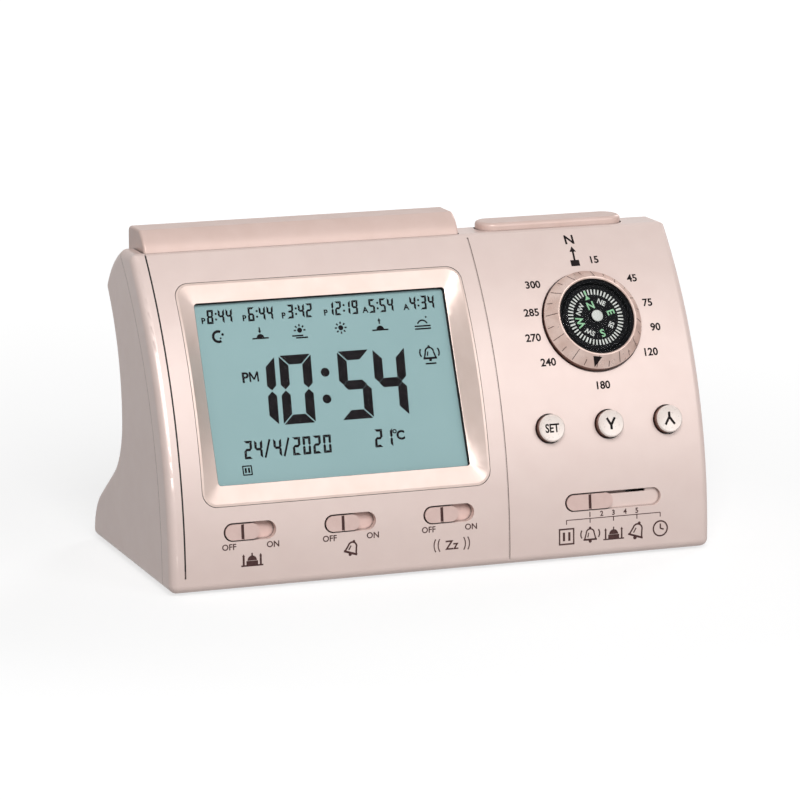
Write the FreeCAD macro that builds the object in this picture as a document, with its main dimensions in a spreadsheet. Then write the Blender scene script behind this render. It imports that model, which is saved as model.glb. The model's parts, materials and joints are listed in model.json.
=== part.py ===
import FreeCAD, Part

import math
import os

import Sketcher
from FreeCAD import Placement, Rotation, Vector

# Desk clock with an arched front, a segment display, a bearing compass, four slide switches and a
# long snooze bar on top.  Millimetres.  X runs along the width, the front looks towards -Y, Z is up
# and the origin lies on the table under the middle of the clock.

SIZES = {
    # casing
    "body_width": 170.0,
    "body_depth": 78.5,
    "body_height": 93.4,
    "foot_height": 0.8,
    "wall": 2.2,
    "end_rounding": 2.4,
    "brow_bevel": 0.25,
    "overshoot": 1.0,
    "front_radius": 133.5,
    "front_level_height": 1.8,
    "top_depth": 47.0,
    "top_arc_radius": 30.0,
    "shoulder_depth": 62.3,
    "shoulder_height": 80.0,
    "waist_depth": 48.4,
    "waist_height": 42.0,
    "waist_radius": 21.0,
    "flare_angle": 35.0,
    "base_arc_radius": 17.0,
    "seam_depth": 8.0,
    "seam_gap": 0.2,
    "lip_depth": 3.0,
    "lip_thickness": 1.2,
    "gap": 0.15,
    "close_gap": 0.05,
    "trim_groove_inset": 4.5,
    "trim_groove_width": 0.5,
    "trim_groove_depth": 0.6,
    "panel_groove_gap": 5.3,
    # display
    "display_margin": 16.2,
    "display_rise": 56.5,
    "window_width": 78.0,
    "window_height": 54.4,
    "window_recess": 4.4,
    "window_land": 0.6,
    "bezel_side": 5.5,
    "bezel_end": 6.1,
    "bezel_corner": 4.5,
    "bezel_rim": 0.7,
    "window_corner": 1.0,
    "window_thickness": 1.0,
    "window_lap_side": 2.4,
    "window_lap_end": 3.2,
    "glass_thickness": 2.2,
    "guide_thickness": 2.4,
    "holder_wall": 1.4,
    "strip_thickness": 2.4,
    "board_thickness": 1.6,
    "display_board_drop": 8.6,
    "display_board_margin": 2.5,
    "display_board_end": 3.8,
    "display_screw_reach": 8.0,
    "display_screw_rise": 20.0,
    "chip_size": 13.6,
    "chip_thickness": 2.2,
    "chip_shift": 9.8,
    "crystal_radius": 1.0,
    "crystal_length": 6.0,
    "crystal_shift": 19.5,
    "crystal_drop": 10.9,
    "capacitor_radius": 2.4,
    "capacitor_height": 6.0,
    "capacitor_shift": 15.6,
    "capacitor_pitch": 7.2,
    "sensor_radius": 1.7,
    "sensor_length": 6.0,
    "sensor_drop": 18.1,
    # slide switches
    "switch_rise": 15.2,
    "switch_first": 24.4,
    "switch_pitch": 30.8,
    "slot_length": 16.0,
    "slot_height": 5.4,
    "slot_gap": 0.4,
    "knob_length": 10.4,
    "switch_travel": 4.8,
    "knob_proud": 0.6,
    "knob_notch_width": 0.9,
    "knob_notch_depth": 0.4,
    "flange_thickness": 1.0,
    "flange_reach": 5.3,
    "flange_height": 8.4,
    "mode_place": 31.5,
    "mode_slot_length": 31.0,
    "mode_knob_length": 14.8,
    "mode_step": 3.85,
    "mode_steps": 4.0,
    "mode_pocket_depth": 1.3,
    "neck_length": 6.0,
    "neck_height": 0.5,
    "switch_board_lift": 12.4,
    "switch_board_height": 11.0,
    "switch_body_length": 13.0,
    "switch_body_height": 6.6,
    "switch_body_depth": 5.4,
    "lever_width": 2.6,
    "lever_height": 2.0,
    "tine_height": 3.0,
    "switch_screw_inset": 8.2,
    # push buttons
    "button_rise": 37.8,
    "button_place": 31.4,
    "button_pitch": 19.0,
    "button_radius": 4.1,
    "button_proud": 2.5,
    "button_travel": 0.8,
    "button_dish": 0.35,
    "button_flange": 1.1,
    "key_board_lift": 10.2,
    "key_board_margin": 2.0,
    "key_board_height": 14.0,
    "tact_width": 6.0,
    "tact_depth": 3.6,
    "tact_cap_radius": 1.7,
    "tact_cap_height": 0.8,
    # compass
    "compass_place": 31.9,
    "compass_rise": 69.4,
    "ring_radius": 15.5,
    "ring_edge": 1.15,
    "ring_proud": 5.0,
    "ring_sink": 1.3,
    "ring_rim": 0.6,
    "ring_lip": 0.3,
    "sleeve_wall": 1.1,
    "capsule_radius": 11.7,
    "running_gap": 0.08,
    "capsule_wall": 0.9,
    "capsule_rise": 4.0,
    "card_lift": 2.9,
    "card_radius": 10.2,
    "card_thickness": 0.5,
    "card_hub_radius": 1.7,
    "card_hub_height": 1.9,
    "card_tilt": 14.0,
    "pivot_radius": 0.6,
    "pivot_cone": 1.2,
    "magnet_radius": 5.1,
    "magnet_thickness": 0.5,
    "dome_rise": 1.4,
    "dome_wall": 0.8,
    "retainer_width": 2.2,
    "retainer_thickness": 1.0,
    "carrier_clearance": 4.0,
    "carrier_screw_reach": 20.0,
    # snooze bar and light key
    "bar_place": 53.7,
    "bar_length": 98.4,
    "bar_front": 37.2,
    "bar_back": 53.0,
    "bar_proud": 6.0,
    "bar_pocket_depth": 5.2,
    "bar_travel": 1.5,
    "bar_wall": 1.8,
    "bar_corner": 1.0,
    "bar_end_rounding": 0.8,
    "bar_bulge": 0.9,
    "bar_crest": 5.4,
    "key_place": 35.8,
    "key_length": 46.5,
    "key_front": 38.2,
    "key_back": 48.8,
    "key_proud": 2.3,
    "key_pocket_depth": 4.0,
    "key_travel": 1.0,
    "key_corner": 5.0,
    "key_rounding": 1.1,
    "plunger_radius": 2.4,
    "plunger_hole_gap": 0.3,
    "hook_radius": 1.6,
    "hook_head": 0.9,
    "hook_inset": 12.0,
    "top_board_drop": 14.5,
    "top_board_width": 9.0,
    "top_board_depth": 45.0,
    "bar_screw_shift": 24.6,
    "key_screw_shift": 5.8,
    # speaker
    "speaker_place": 40.0,
    "speaker_height": 56.0,
    "speaker_radius": 16.0,
    "speaker_depth": 6.5,
    "speaker_magnet_radius": 9.0,
    "speaker_rim": 1.6,
    "grille_hole_radius": 1.0,
    "grille_pitch": 4.0,
    # batteries
    "cell_radius": 7.15,
    "cell_length": 49.2,
    "cell_rim": 1.2,
    "cell_tip_radius": 2.75,
    "cell_tip_length": 1.2,
    "cell_front": 31.0,
    "cell_gap": 0.5,
    "spring_length": 5.0,
    "spring_radius": 3.6,
    "spring_wire": 0.4,
    "spring_turns": 4.0,
    "contact_thickness": 0.5,
    "contact_height": 11.4,
    "box_wall": 1.5,
    "door_thickness": 1.6,
    "door_width": 64.0,
    "door_front": 26.0,
    "door_tongue": 1.0,
    # fasteners and feet
    "case_screw_radius": 1.5,
    "case_screw_head": 2.7,
    "case_screw_head_height": 1.6,
    "case_screw_length": 12.0,
    "case_screw_inset": 7.2,
    "case_screw_low": 6.9,
    "case_screw_high": 82.8,
    "low_screw_seat": 20.0,
    "high_screw_seat": 47.5,
    "post_wall": 1.2,
    "board_screw_radius": 1.0,
    "board_screw_head": 1.9,
    "board_screw_head_height": 1.1,
    "board_screw_length": 6.0,
    "foot_radius": 4.5,
    "foot_inset_side": 14.0,
    "foot_inset_depth": 12.0,
}

doc = FreeCAD.newDocument("DeskClock")
sheet = doc.addObject("Spreadsheet::Sheet", "Sizes")
for row, (alias, number) in enumerate(SIZES.items(), start=1):
    sheet.set(f"A{row}", alias)
    sheet.set(f"B{row}", str(number))
    sheet.setAlias(f"B{row}", alias)
doc.recompute()


class Cells:
    """The sheet's cells, read as plain numbers by their alias."""

    def __getattr__(self, alias):
        return float(sheet.get(alias))

    __getitem__ = __getattr__


s = Cells()
nodes = {}

# ---------------------------------------------------------------- places worked out from the sizes
front_y = -s.body_depth / 2
base_z = s.foot_height
top_z = base_z + s.body_height
axis_y = front_y + s.front_radius
axis_z = base_z + s.front_level_height


def across(place):
    """X of a place measured along the width from the left end."""
    return place - s.body_width / 2


def from_right(place):
    """A place measured from the right end, as one from the left end."""
    return s.body_width - place


def along(depth):
    """Y of a depth measured back from the foremost line of the front."""
    return front_y + depth


def face_frame(place, rise):
    """Placement on the arched front: X along the width, Y up the face and Z out of it."""
    turn = rise / s.front_radius
    point = Vector(
        across(place),
        axis_y - s.front_radius * math.cos(turn),
        axis_z + s.front_radius * math.sin(turn),
    )
    return Placement(point, Rotation(Vector(1, 0, 0), 90 - math.degrees(turn)))


def local(frame, x=0.0, y=0.0, z=0.0, rotation=None):
    """Placement at a point given in a frame's own axes."""
    return frame.multiply(Placement(Vector(x, y, z), rotation or Rotation()))


WORLD = Placement()
CLOSE = 1e-3
DRAFT_SIDE = 10.0


# ---------------------------------------------------------------- helpers for objects
def bound(kind, name, place=WORLD, **expressions):
    """An object whose properties follow expressions on the sheet."""
    made = doc.addObject(kind, name)
    for prop, expression in expressions.items():
        made.setExpression(prop, expression)
    made.Placement = place
    made.recompute()
    return made


def block(name, length, width, height, frame=WORLD, x=0.0, y=0.0, z=0.0):
    """A box centred on x and y and standing on z, in a frame's own axes."""
    made = bound("Part::Box", name, Length=length, Width=width, Height=height)
    made.Placement = local(frame, x - made.Length.Value / 2, y - made.Width.Value / 2, z)
    return made


def rod(name, radius, height, frame=WORLD, x=0.0, y=0.0, z=0.0, rotation=None):
    """A cylinder that starts at a point and runs along the frame's Z, or as turned."""
    made = bound("Part::Cylinder", name, Radius=radius, Height=height)
    made.Placement = local(frame, x, y, z, rotation)
    return made


def cut(name, base, *tools):
    """The base less its tools."""
    made = doc.addObject("Part::Cut", name)
    made.Base = base
    made.Tool = tools[0] if len(tools) == 1 else fuse(name + "_tools", *tools)
    return made


def fuse(name, *shapes):
    """Several overlapping shapes as one."""
    made = doc.addObject("Part::MultiFuse", name)
    made.Shapes = list(shapes)
    return made


def common(name, *shapes):
    """What several shapes share."""
    made = doc.addObject("Part::MultiCommon", name)
    made.Shapes = list(shapes)
    return made


def group(name, *shapes):
    """Identical separate pieces kept together."""
    made = doc.addObject("Part::Compound", name)
    made.Links = list(shapes)
    return made


def node(name, made):
    """Register a finished sub-part under the name of its file."""
    made.Label = name
    nodes[name] = made
    return made


def new_body(name, place=WORLD):
    """An empty body standing in its frame."""
    body = doc.addObject("PartDesign::Body", name)
    body.Placement = place
    return body


def new_sketch(body, role="XY_Plane", height=0.0):
    """A sketch on one of the body's own origin planes, moved off it by a height."""
    sketch = body.newObject("Sketcher::SketchObject", body.Name + "_sketch")
    plane = next(feature for feature in body.Origin.OriginFeatures if feature.Role == role)
    sketch.AttachmentSupport = [(plane, "")]
    sketch.MapMode = "FlatFace"
    sketch.AttachmentOffset = Placement(Vector(0, 0, height), Rotation())
    return sketch


def join_ends(sketch):
    """Tie the meeting ends of a closed outline together."""
    count = len(sketch.Geometry)
    for index in range(count):
        following = (index + 1) % count
        for end in (1, 2):
            for start in (1, 2):
                apart = sketch.getPoint(index, end) - sketch.getPoint(following, start)
                if apart.Length < CLOSE:
                    sketch.addConstraint(Sketcher.Constraint("Coincident", index, end, following, start))


def draw_outline(sketch, start, *steps):
    """Draw a closed outline: a step is a point to go to, or a mid point and an end for an arc."""
    here = Vector(start[0], start[1], 0)
    for step in steps + (start,):
        if isinstance(step[0], tuple):
            middle = Vector(step[0][0], step[0][1], 0)
            there = Vector(step[1][0], step[1][1], 0)
            sketch.addGeometry(Part.ArcOfCircle(here, middle, there), False)
            here = there
            continue
        there = Vector(step[0], step[1], 0)
        if (there - here).Length > CLOSE:
            sketch.addGeometry(Part.LineSegment(here, there), False)
        here = there
    join_ends(sketch)


def bound_rectangle(sketch, length, width):
    """A rectangle about the sketch's origin, its two sizes bound to the sheet."""
    half = DRAFT_SIDE / 2
    corners = [Vector(x * half, y * half, 0) for x, y in ((-1, -1), (1, -1), (1, 1), (-1, 1))]
    for index, corner in enumerate(corners):
        sketch.addGeometry(Part.LineSegment(corner, corners[(index + 1) % 4]), False)
    join_ends(sketch)
    for line, kind in enumerate(("Horizontal", "Vertical", "Horizontal", "Vertical")):
        sketch.addConstraint(Sketcher.Constraint(kind, line))
    sketch.addConstraint(Sketcher.Constraint("Symmetric", 0, 1, 1, 2, -1, 1))
    for kind, line, expression in (("DistanceX", 0, length), ("DistanceY", 1, width)):
        row = sketch.addConstraint(Sketcher.Constraint(kind, line, 1, line, 2, DRAFT_SIDE))
        sketch.setExpression(f"Constraints[{row}]", expression)


def pad(body, sketch, length, both_ways=False):
    """Pad a sketch by a bound length."""
    feature = body.newObject("PartDesign::Pad", body.Name + "_pad")
    feature.Profile = sketch
    feature.setExpression("Length", length)
    feature.SideType = "Symmetric" if both_ways else "One side"
    doc.recompute([feature, body], True)
    return feature


def round_edges(body, feature, radius, wanted):
    """Round those edges of a feature that a test picks."""
    names = [f"Edge{index}" for index, edge in enumerate(feature.Shape.Edges, start=1) if wanted(edge)]
    made = body.newObject("PartDesign::Fillet", body.Name + "_rounding")
    made.Base = (feature, names)
    made.setExpression("Radius", radius)
    body.Tip = made
    doc.recompute([made, body], True)
    return made


def upright(edge):
    """True for a straight edge along the body's own Z."""
    ends = [vertex.Point for vertex in edge.Vertexes]
    return len(ends) == 2 and abs(ends[0].z - ends[1].z) > edge.Length - CLOSE


def at_height(height):
    """A test for edges that lie wholly at one height of the body."""
    return lambda edge: all(abs(vertex.Point.z - height) < CLOSE for vertex in edge.Vertexes)


def plate(
    name, length, width, thickness, corner=None, frame=WORLD, x=0.0, y=0.0, z=0.0, top_rounding=None
):
    """A flat plate about x and y standing on z, with rounded corners if it has a corner radius."""
    body = new_body(name, local(frame, x, y, z))
    sketch = new_sketch(body)
    bound_rectangle(sketch, length, width)
    feature = pad(body, sketch, thickness)
    if corner:
        feature = round_edges(body, feature, corner, upright)
    if top_rounding:
        round_edges(body, feature, top_rounding, at_height(feature.Shape.BoundBox.ZMax))
    return body


def stadium(name, length, width, thickness, frame=WORLD, x=0.0, y=0.0, z=0.0):
    """A plate with round ends, given its numbers for the outline and a bound thickness."""
    body = new_body(name, local(frame, x, y, z))
    sketch = new_sketch(body)
    reach = (length - width) / 2
    radius = width / 2
    draw_outline(
        sketch,
        (-reach, -radius),
        (reach, -radius),
        ((reach + radius, 0), (reach, radius)),
        (-reach, radius),
        ((-reach - radius, 0), (-reach, -radius)),
    )
    pad(body, sketch, thickness)
    return body


def turned(name, frame, start, *steps):
    """A round piece: an outline of radii and heights turned about the frame's Z."""
    body = new_body(name, frame)
    sketch = new_sketch(body, "XZ_Plane")
    draw_outline(sketch, start, *steps)
    feature = body.newObject("PartDesign::Revolution", name + "_turn")
    feature.Profile = sketch
    feature.ReferenceAxis = (sketch, ["V_Axis"])
    feature.Angle = 360
    doc.recompute([feature, body], True)
    return body


def arc_middle(centre, start, end):
    """The point half way along the shorter arc between two points about a centre."""
    first = math.atan2(start[1] - centre[1], start[0] - centre[0])
    last = math.atan2(end[1] - centre[1], end[0] - centre[0])
    sweep = (last - first + math.pi) % (2 * math.pi) - math.pi
    radius = math.hypot(start[0] - centre[0], start[1] - centre[1])
    middle = first + sweep / 2
    return (centre[0] + radius * math.cos(middle), centre[1] + radius * math.sin(middle))


def meet(centre, radius, other, other_radius, near):
    """The crossing of two circles that lies nearer to a point."""
    gap_y, gap_z = other[0] - centre[0], other[1] - centre[1]
    apart = math.hypot(gap_y, gap_z)
    reach = (apart**2 + radius**2 - other_radius**2) / (2 * apart)
    height = math.sqrt(radius**2 - reach**2)
    foot = (centre[0] + reach * gap_y / apart, centre[1] + reach * gap_z / apart)
    sides = [
        (foot[0] - side * height * gap_z / apart, foot[1] + side * height * gap_y / apart)
        for side in (-1, 1)
    ]
    return min(sides, key=lambda point: math.dist(point, near))


# ---------------------------------------------------------------- the casing's side outline
def back_arc_radius():
    """Radius of the hollow back between the waist and the shoulder."""
    reach_y = s.shoulder_depth - s.waist_depth
    reach_z = s.shoulder_height - s.waist_height
    return (reach_y**2 + reach_z**2) / (2 * reach_y)


def casing_steps(inset):
    """The casing's outline in Y and Z, moved inwards by an inset."""
    floor_z = base_z + inset
    roof_z = top_z - inset
    radius = s.front_radius - inset
    front_axis = (axis_y, axis_z)
    front_low = (axis_y - math.sqrt(radius**2 - (floor_z - axis_z) ** 2), floor_z)
    front_high = (axis_y - math.sqrt(radius**2 - (roof_z - axis_z) ** 2), roof_z)

    brow = (along(s.top_depth), top_z)
    shoulder = (along(s.shoulder_depth), base_z + s.shoulder_height)
    half = (math.dist(brow, shoulder)) / 2
    sag = math.sqrt(s.top_arc_radius**2 - half**2)
    slope = math.atan2(shoulder[1] - brow[1], shoulder[0] - brow[0])
    brow_axis = (
        (brow[0] + shoulder[0]) / 2 + sag * math.sin(slope),
        (brow[1] + shoulder[1]) / 2 - sag * math.cos(slope),
    )
    brow_radius = s.top_arc_radius - inset
    brow_start = (brow_axis[0] + math.sqrt(brow_radius**2 - (roof_z - brow_axis[1]) ** 2), roof_z)

    waist = (along(s.waist_depth), base_z + s.waist_height)
    back_radius = back_arc_radius()
    back_axis = (waist[0] + back_radius, waist[1])
    shoulder_in = meet(brow_axis, brow_radius, back_axis, back_radius + inset, shoulder)
    waist_in = (waist[0] - inset, waist[1])

    flare = math.radians(s.flare_angle)
    out = (math.sin(flare), math.cos(flare))
    waist_axis = (waist[0] + s.waist_radius, waist[1])
    waist_radius = s.waist_radius + inset
    flare_start = (waist_axis[0] - waist_radius * out[0], waist_axis[1] - waist_radius * out[1])
    base_axis_y = along(s.body_depth) - s.base_arc_radius
    line = out[0] * waist_axis[0] + out[1] * waist_axis[1] - s.waist_radius
    base_axis = (base_axis_y, (line - s.base_arc_radius - out[0] * base_axis_y) / out[1])
    base_radius = s.base_arc_radius - inset
    flare_end = (base_axis[0] + base_radius * out[0], base_axis[1] + base_radius * out[1])
    low = max(floor_z - base_axis[1], 0.0)
    heel = (base_axis[0] + math.sqrt(base_radius**2 - low**2), max(floor_z, base_axis[1]))

    return (
        front_low,
        (arc_middle(front_axis, front_low, front_high), front_high),
        brow_start,
        (arc_middle(brow_axis, brow_start, shoulder_in), shoulder_in),
        (arc_middle(back_axis, shoulder_in, waist_in), waist_in),
        (arc_middle(waist_axis, waist_in, flare_start), flare_start),
        flare_end,
        (arc_middle(base_axis, flare_end, heel), heel),
        (heel[0], floor_z),
    )


def casing_form(name, inset, width):
    """A solid with the casing's outline, inset all round, of a bound width."""
    body = new_body(name)
    sketch = new_sketch(body, "YZ_Plane")
    draw_outline(sketch, *casing_steps(inset))
    pad(body, sketch, width, both_ways=True)
    return body


def drum(name, radius, width, x=0.0):
    """A cylinder about the axis of the arched front, centred on x."""
    made = bound("Part::Cylinder", name, Radius=radius, Height=width)
    made.Placement = Placement(
        Vector(x - made.Height.Value / 2, axis_y, axis_z), Rotation(Vector(0, 1, 0), 90)
    )
    return made


def on_long_edge(edge, place):
    """True for the straight edge along the width that passes a place in Y and Z."""
    middle = edge.CenterOfMass
    return abs(middle.x) < CLOSE and math.dist((middle.y, middle.z), place) < CLOSE


def on_ends(edge, half_length):
    """True for an edge that lies wholly in one of a form's two flat ends."""
    places = [vertex.Point.x for vertex in edge.Vertexes]
    return all(abs(place) > half_length - CLOSE and place * places[0] > 0 for place in places)


end_x = s.body_width / 2
outline = casing_steps(0.0)
front_base, brow, shoulder, rear_base = outline[0], outline[1][1], outline[3][1], outline[-1]
casing_blank = casing_form("casing_blank", 0.0, "Sizes.body_width")
round_edges(
    casing_blank, casing_blank.Tip, "Sizes.end_rounding",
    lambda edge: on_ends(edge, end_x)
    or any(on_long_edge(edge, place) for place in (front_base, shoulder, rear_base)),
)
brow_lean = math.degrees(math.asin((brow[1] - axis_z) / s.front_radius)) / 2
brow_frame = Placement(Vector(0, brow[0], brow[1]), Rotation(Vector(1, 0, 0), 45 - brow_lean))
brow_plane = block(
    "brow_plane", "Sizes.body_width", "Sizes.top_depth / 2", "Sizes.wall", brow_frame, z=-s.brow_bevel
)
outer_form = cut("outer_form", casing_blank, brow_plane)
inner_form = casing_form("inner_form", s.wall, "Sizes.body_width - 2 * Sizes.wall")
core_form = casing_form("core_form", s.wall / 2, "Sizes.body_width - Sizes.wall")


bar_x = across(s.bar_place)
key_x = across(from_right(s.key_place))
top_piece_x = {"bar": bar_x, "key": key_x}


def top_pocket(name, kind, grow):
    """The well of a top piece, cut down into the roof and grown on every side by an amount."""
    front, back = s[kind + "_front"], s[kind + "_back"]
    return plate(
        name,
        f"Sizes.{kind}_length + 2 * (Sizes.slot_gap + {grow})",
        f"Sizes.{kind}_back - Sizes.{kind}_front + 2 * (Sizes.slot_gap + {grow})",
        "Sizes.body_height",
        corner=f"Sizes.{kind}_corner + Sizes.slot_gap + {grow}",
        x=top_piece_x[kind],
        y=along((front + back) / 2),
        z=top_z - s[kind + "_pocket_depth"] - grow,
    )


def both_pockets(name, grow):
    """The wells of the snooze bar and the light key."""
    return tuple(top_pocket(f"{name}_{kind}", kind, grow) for kind in ("bar", "key"))


wells = both_pockets("well", 0.0)
well_walls = both_pockets("well_wall", s.wall)
shell = cut("shell", cut("shell_outside", outer_form, *wells), cut("shell_inside", inner_form, *well_walls))
past_width = "Sizes.body_width + 2 * Sizes.overshoot"
seam_drum = drum("seam_drum", "Sizes.front_radius - Sizes.seam_depth", past_width)
rear_drum = drum(
    "rear_drum", "Sizes.front_radius - Sizes.seam_depth - Sizes.seam_gap", past_width
)
front_raw = cut("front_raw", shell, seam_drum)
rear_raw = common("rear_raw", shell, rear_drum)

# ---------------------------------------------------------------- frames of the face-mounted groups
display_place = s.display_margin + s.window_width / 2
display = face_frame(display_place, s.display_rise)
keys = face_frame(from_right(s.button_place), s.button_rise)
compass = face_frame(from_right(s.compass_place), s.compass_rise)
switch_places = [s.switch_first + index * s.switch_pitch for index in range(3)]
switches = [face_frame(place, s.switch_rise) for place in switch_places]
mode_place = from_right(s.mode_place)
mode = face_frame(mode_place, s.switch_rise)
mode_travel = s.mode_step * s.mode_steps
mode_reach = "Sizes.mode_step * Sizes.mode_steps"
button_shifts = (-s.button_pitch, 0.0, s.button_pitch)

bezel_bottom = -s.window_recess - s.window_land
display_board_top = bezel_bottom - s.display_board_drop
switch_board_top = -s.switch_board_lift
key_board_top = -s.key_board_lift
display_screw_side = s.window_width / 2 + s.display_screw_reach
display_screws = [
    (x_side * display_screw_side, y_side * s.display_screw_rise) for x_side in (-1, 1) for y_side in (-1, 1)
]
key_screws = [(-s.button_pitch / 2, 0.0), (s.button_pitch / 2, 0.0)]
last_switch_end = switch_places[-1] + (s.switch_travel + s.knob_length) / 2 + s.flange_reach
mode_start = mode_place - (mode_travel + s.mode_knob_length) / 2 - s.flange_reach
switch_board_screws = [
    s.switch_screw_inset,
    (switch_places[0] + switch_places[1]) / 2,
    (switch_places[1] + switch_places[2]) / 2,
    (last_switch_end + mode_start) / 2,
    from_right(s.switch_screw_inset),
]
sleeve_radius = s.capsule_radius + s.running_gap + s.sleeve_wall
seat_depth = s.ring_sink + s.wall
retainer_radius = sleeve_radius + s.retainer_width
carrier_top = -(seat_depth + s.retainer_thickness + s.carrier_clearance)

# ---------------------------------------------------------------- places under the top pieces
plungers = [("bar", bar_x, s.bar_pocket_depth), ("key", key_x, s.key_pocket_depth)]
hooks = [
    ("bar", bar_x + side * (s.bar_length / 2 - s.hook_inset), s.bar_pocket_depth) for side in (-1, 1)
] + [
    ("key", key_x + side * (s.key_length / 2 - s.hook_inset), s.key_pocket_depth) for side in (-1, 1)
]
top_holes = [
    rod(
        f"plunger_hole_{name}", "Sizes.plunger_radius + Sizes.plunger_hole_gap", "3 * Sizes.wall",
        x=x, y=along(s.top_board_depth), z=top_z - depth - 2 * s.wall,
    )
    for name, x, depth in plungers
] + [
    rod(
        f"hook_hole_{index}", "Sizes.hook_radius + Sizes.plunger_hole_gap", "3 * Sizes.wall",
        x=x, y=along(s.top_board_depth), z=top_z - depth - 2 * s.wall,
    )
    for index, (_, x, depth) in enumerate(hooks)
]

# ---------------------------------------------------------------- front shell
bezel_width = "(Sizes.window_width + 2 * Sizes.bezel_side)"
bezel_height = "(Sizes.window_height + 2 * Sizes.bezel_end)"
bezel_half = (s.window_width / 2 + s.bezel_side, s.window_height / 2 + s.bezel_end)
opening_reach = s.front_radius / 8
bezel_opening = plate(
    "bezel_opening", f"{bezel_width} + 2 * Sizes.gap", f"{bezel_height} + 2 * Sizes.gap",
    f"{2 * opening_reach}", corner="Sizes.bezel_corner", frame=display, z=-opening_reach,
)


def boss(name, frame, seat, x=0.0, y=0.0):
    """A screw boss that stands on the inside of the front and ends at a board's seat."""
    return rod(name, "Sizes.board_screw_radius + Sizes.post_wall", f"{-seat}", frame, x, y, seat)


pilot_length = "Sizes.board_screw_length - Sizes.board_thickness + 2 * Sizes.gap"


def pilot(name, frame, seat, x=0.0, y=0.0):
    """The pilot hole of a boss."""
    return rod(name, "Sizes.board_screw_radius + Sizes.close_gap", pilot_length, frame, x, y, seat)


board_fixings = [(display, display_board_top, x, y) for x, y in display_screws]
board_fixings += [(keys, key_board_top, x, y) for x, y in key_screws]
board_fixings += [
    (face_frame(place, s.switch_rise), switch_board_top, 0.0, 0.0) for place in switch_board_screws
]
board_fixings += [(compass, carrier_top, side * s.carrier_screw_reach, 0.0) for side in (-1, 1)]

bosses = [
    boss(f"boss_{index}", frame, seat, x, y)
    for index, (frame, seat, x, y) in enumerate(board_fixings)
]
pilots = [
    pilot(f"pilot_{index}", frame, seat, x, y)
    for index, (frame, seat, x, y) in enumerate(board_fixings)
]

toward_back = Rotation(Vector(1, 0, 0), -90)
case_screws_at = [
    (side * (end_x - s.case_screw_inset), seat, base_z + height)
    for side in (-1, 1)
    for seat, height in ((s.low_screw_seat, s.case_screw_low), (s.high_screw_seat, s.case_screw_high))
]
lugs = []
lug_pilots = []
for index, (x, seat, z) in enumerate(case_screws_at):
    start = along(seat) - s.body_depth
    lugs.append(rod(
        f"lug_{index}", "Sizes.case_screw_radius + Sizes.post_wall", "Sizes.body_depth",
        x=x, y=start, z=z, rotation=toward_back,
    ))
    lug_pilots.append(rod(
        f"lug_pilot_{index}", "Sizes.case_screw_radius + Sizes.close_gap", "Sizes.case_screw_length",
        x=x, y=along(seat) - s.case_screw_length, z=z, rotation=toward_back,
    ))

compass_pad = rod(
    "compass_pad", "Sizes.ring_radius + Sizes.wall", f"{seat_depth}", compass, z=-seat_depth
)
front_ribs = common("front_ribs", fuse("front_rib_set", *bosses, *lugs, compass_pad), core_form)

ring_recess = rod(
    "ring_recess", "Sizes.ring_radius + Sizes.slot_gap", "Sizes.ring_sink + Sizes.wall", compass,
    z=-s.ring_sink,
)
sleeve_hole = rod(
    "sleeve_hole", f"{sleeve_radius} + Sizes.running_gap", f"{seat_depth} + 2 * Sizes.wall", compass,
    z=-seat_depth - s.wall,
)
button_holes = [
    rod(f"button_hole_{index}", "Sizes.button_radius + Sizes.slot_gap", "4 * Sizes.wall", keys, x=shift,
        z=-2 * s.wall)
    for index, shift in enumerate(button_shifts)
]
slots = [
    stadium(f"slot_{index}", s.slot_length, s.slot_height, "4 * Sizes.wall", frame, z=-2 * s.wall)
    for index, frame in enumerate(switches)
]
slots.append(
    stadium("mode_pocket", s.mode_slot_length, s.slot_height, "4 * Sizes.wall", mode, z=-s.mode_pocket_depth)
)
neck_y = s.slot_height / 2 - s.slot_gap - s.neck_height / 2
slots.append(block(
    "mode_slit", f"{mode_reach} + Sizes.neck_length + 2 * Sizes.gap", "Sizes.neck_height + 2 * Sizes.gap",
    "4 * Sizes.wall", mode, y=neck_y, z=-2 * s.wall,
))


def face_groove(name, place, width, depth, low):
    """A shallow upright groove in the arched front, down to a height above the base."""
    slab = block(
        name + "_slab", width, "Sizes.top_depth", "Sizes.body_height", x=across(place),
        y=along(s.top_depth / 2) - s.end_rounding, z=base_z + low,
    )
    return cut(name, slab, drum(name + "_drum", f"Sizes.front_radius - {depth}", past_width))


trim_groove = face_groove(
    "trim_groove", s.trim_groove_inset, "Sizes.trim_groove_width", "Sizes.trim_groove_depth",
    s.trim_groove_inset,
)
panel_groove_place = display_place + bezel_half[0] + s.panel_groove_gap
panel_groove = face_groove(
    "panel_groove", panel_groove_place, "Sizes.trim_groove_width", "Sizes.trim_groove_depth / 2",
    -s.overshoot,
)
front_shell = node("front_shell", cut(
    "front_shell", fuse("front_whole", front_raw, front_ribs), bezel_opening, ring_recess, sleeve_hole,
    *button_holes, *slots, *pilots, *lug_pilots, *top_holes, trim_groove, panel_groove,
))

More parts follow.
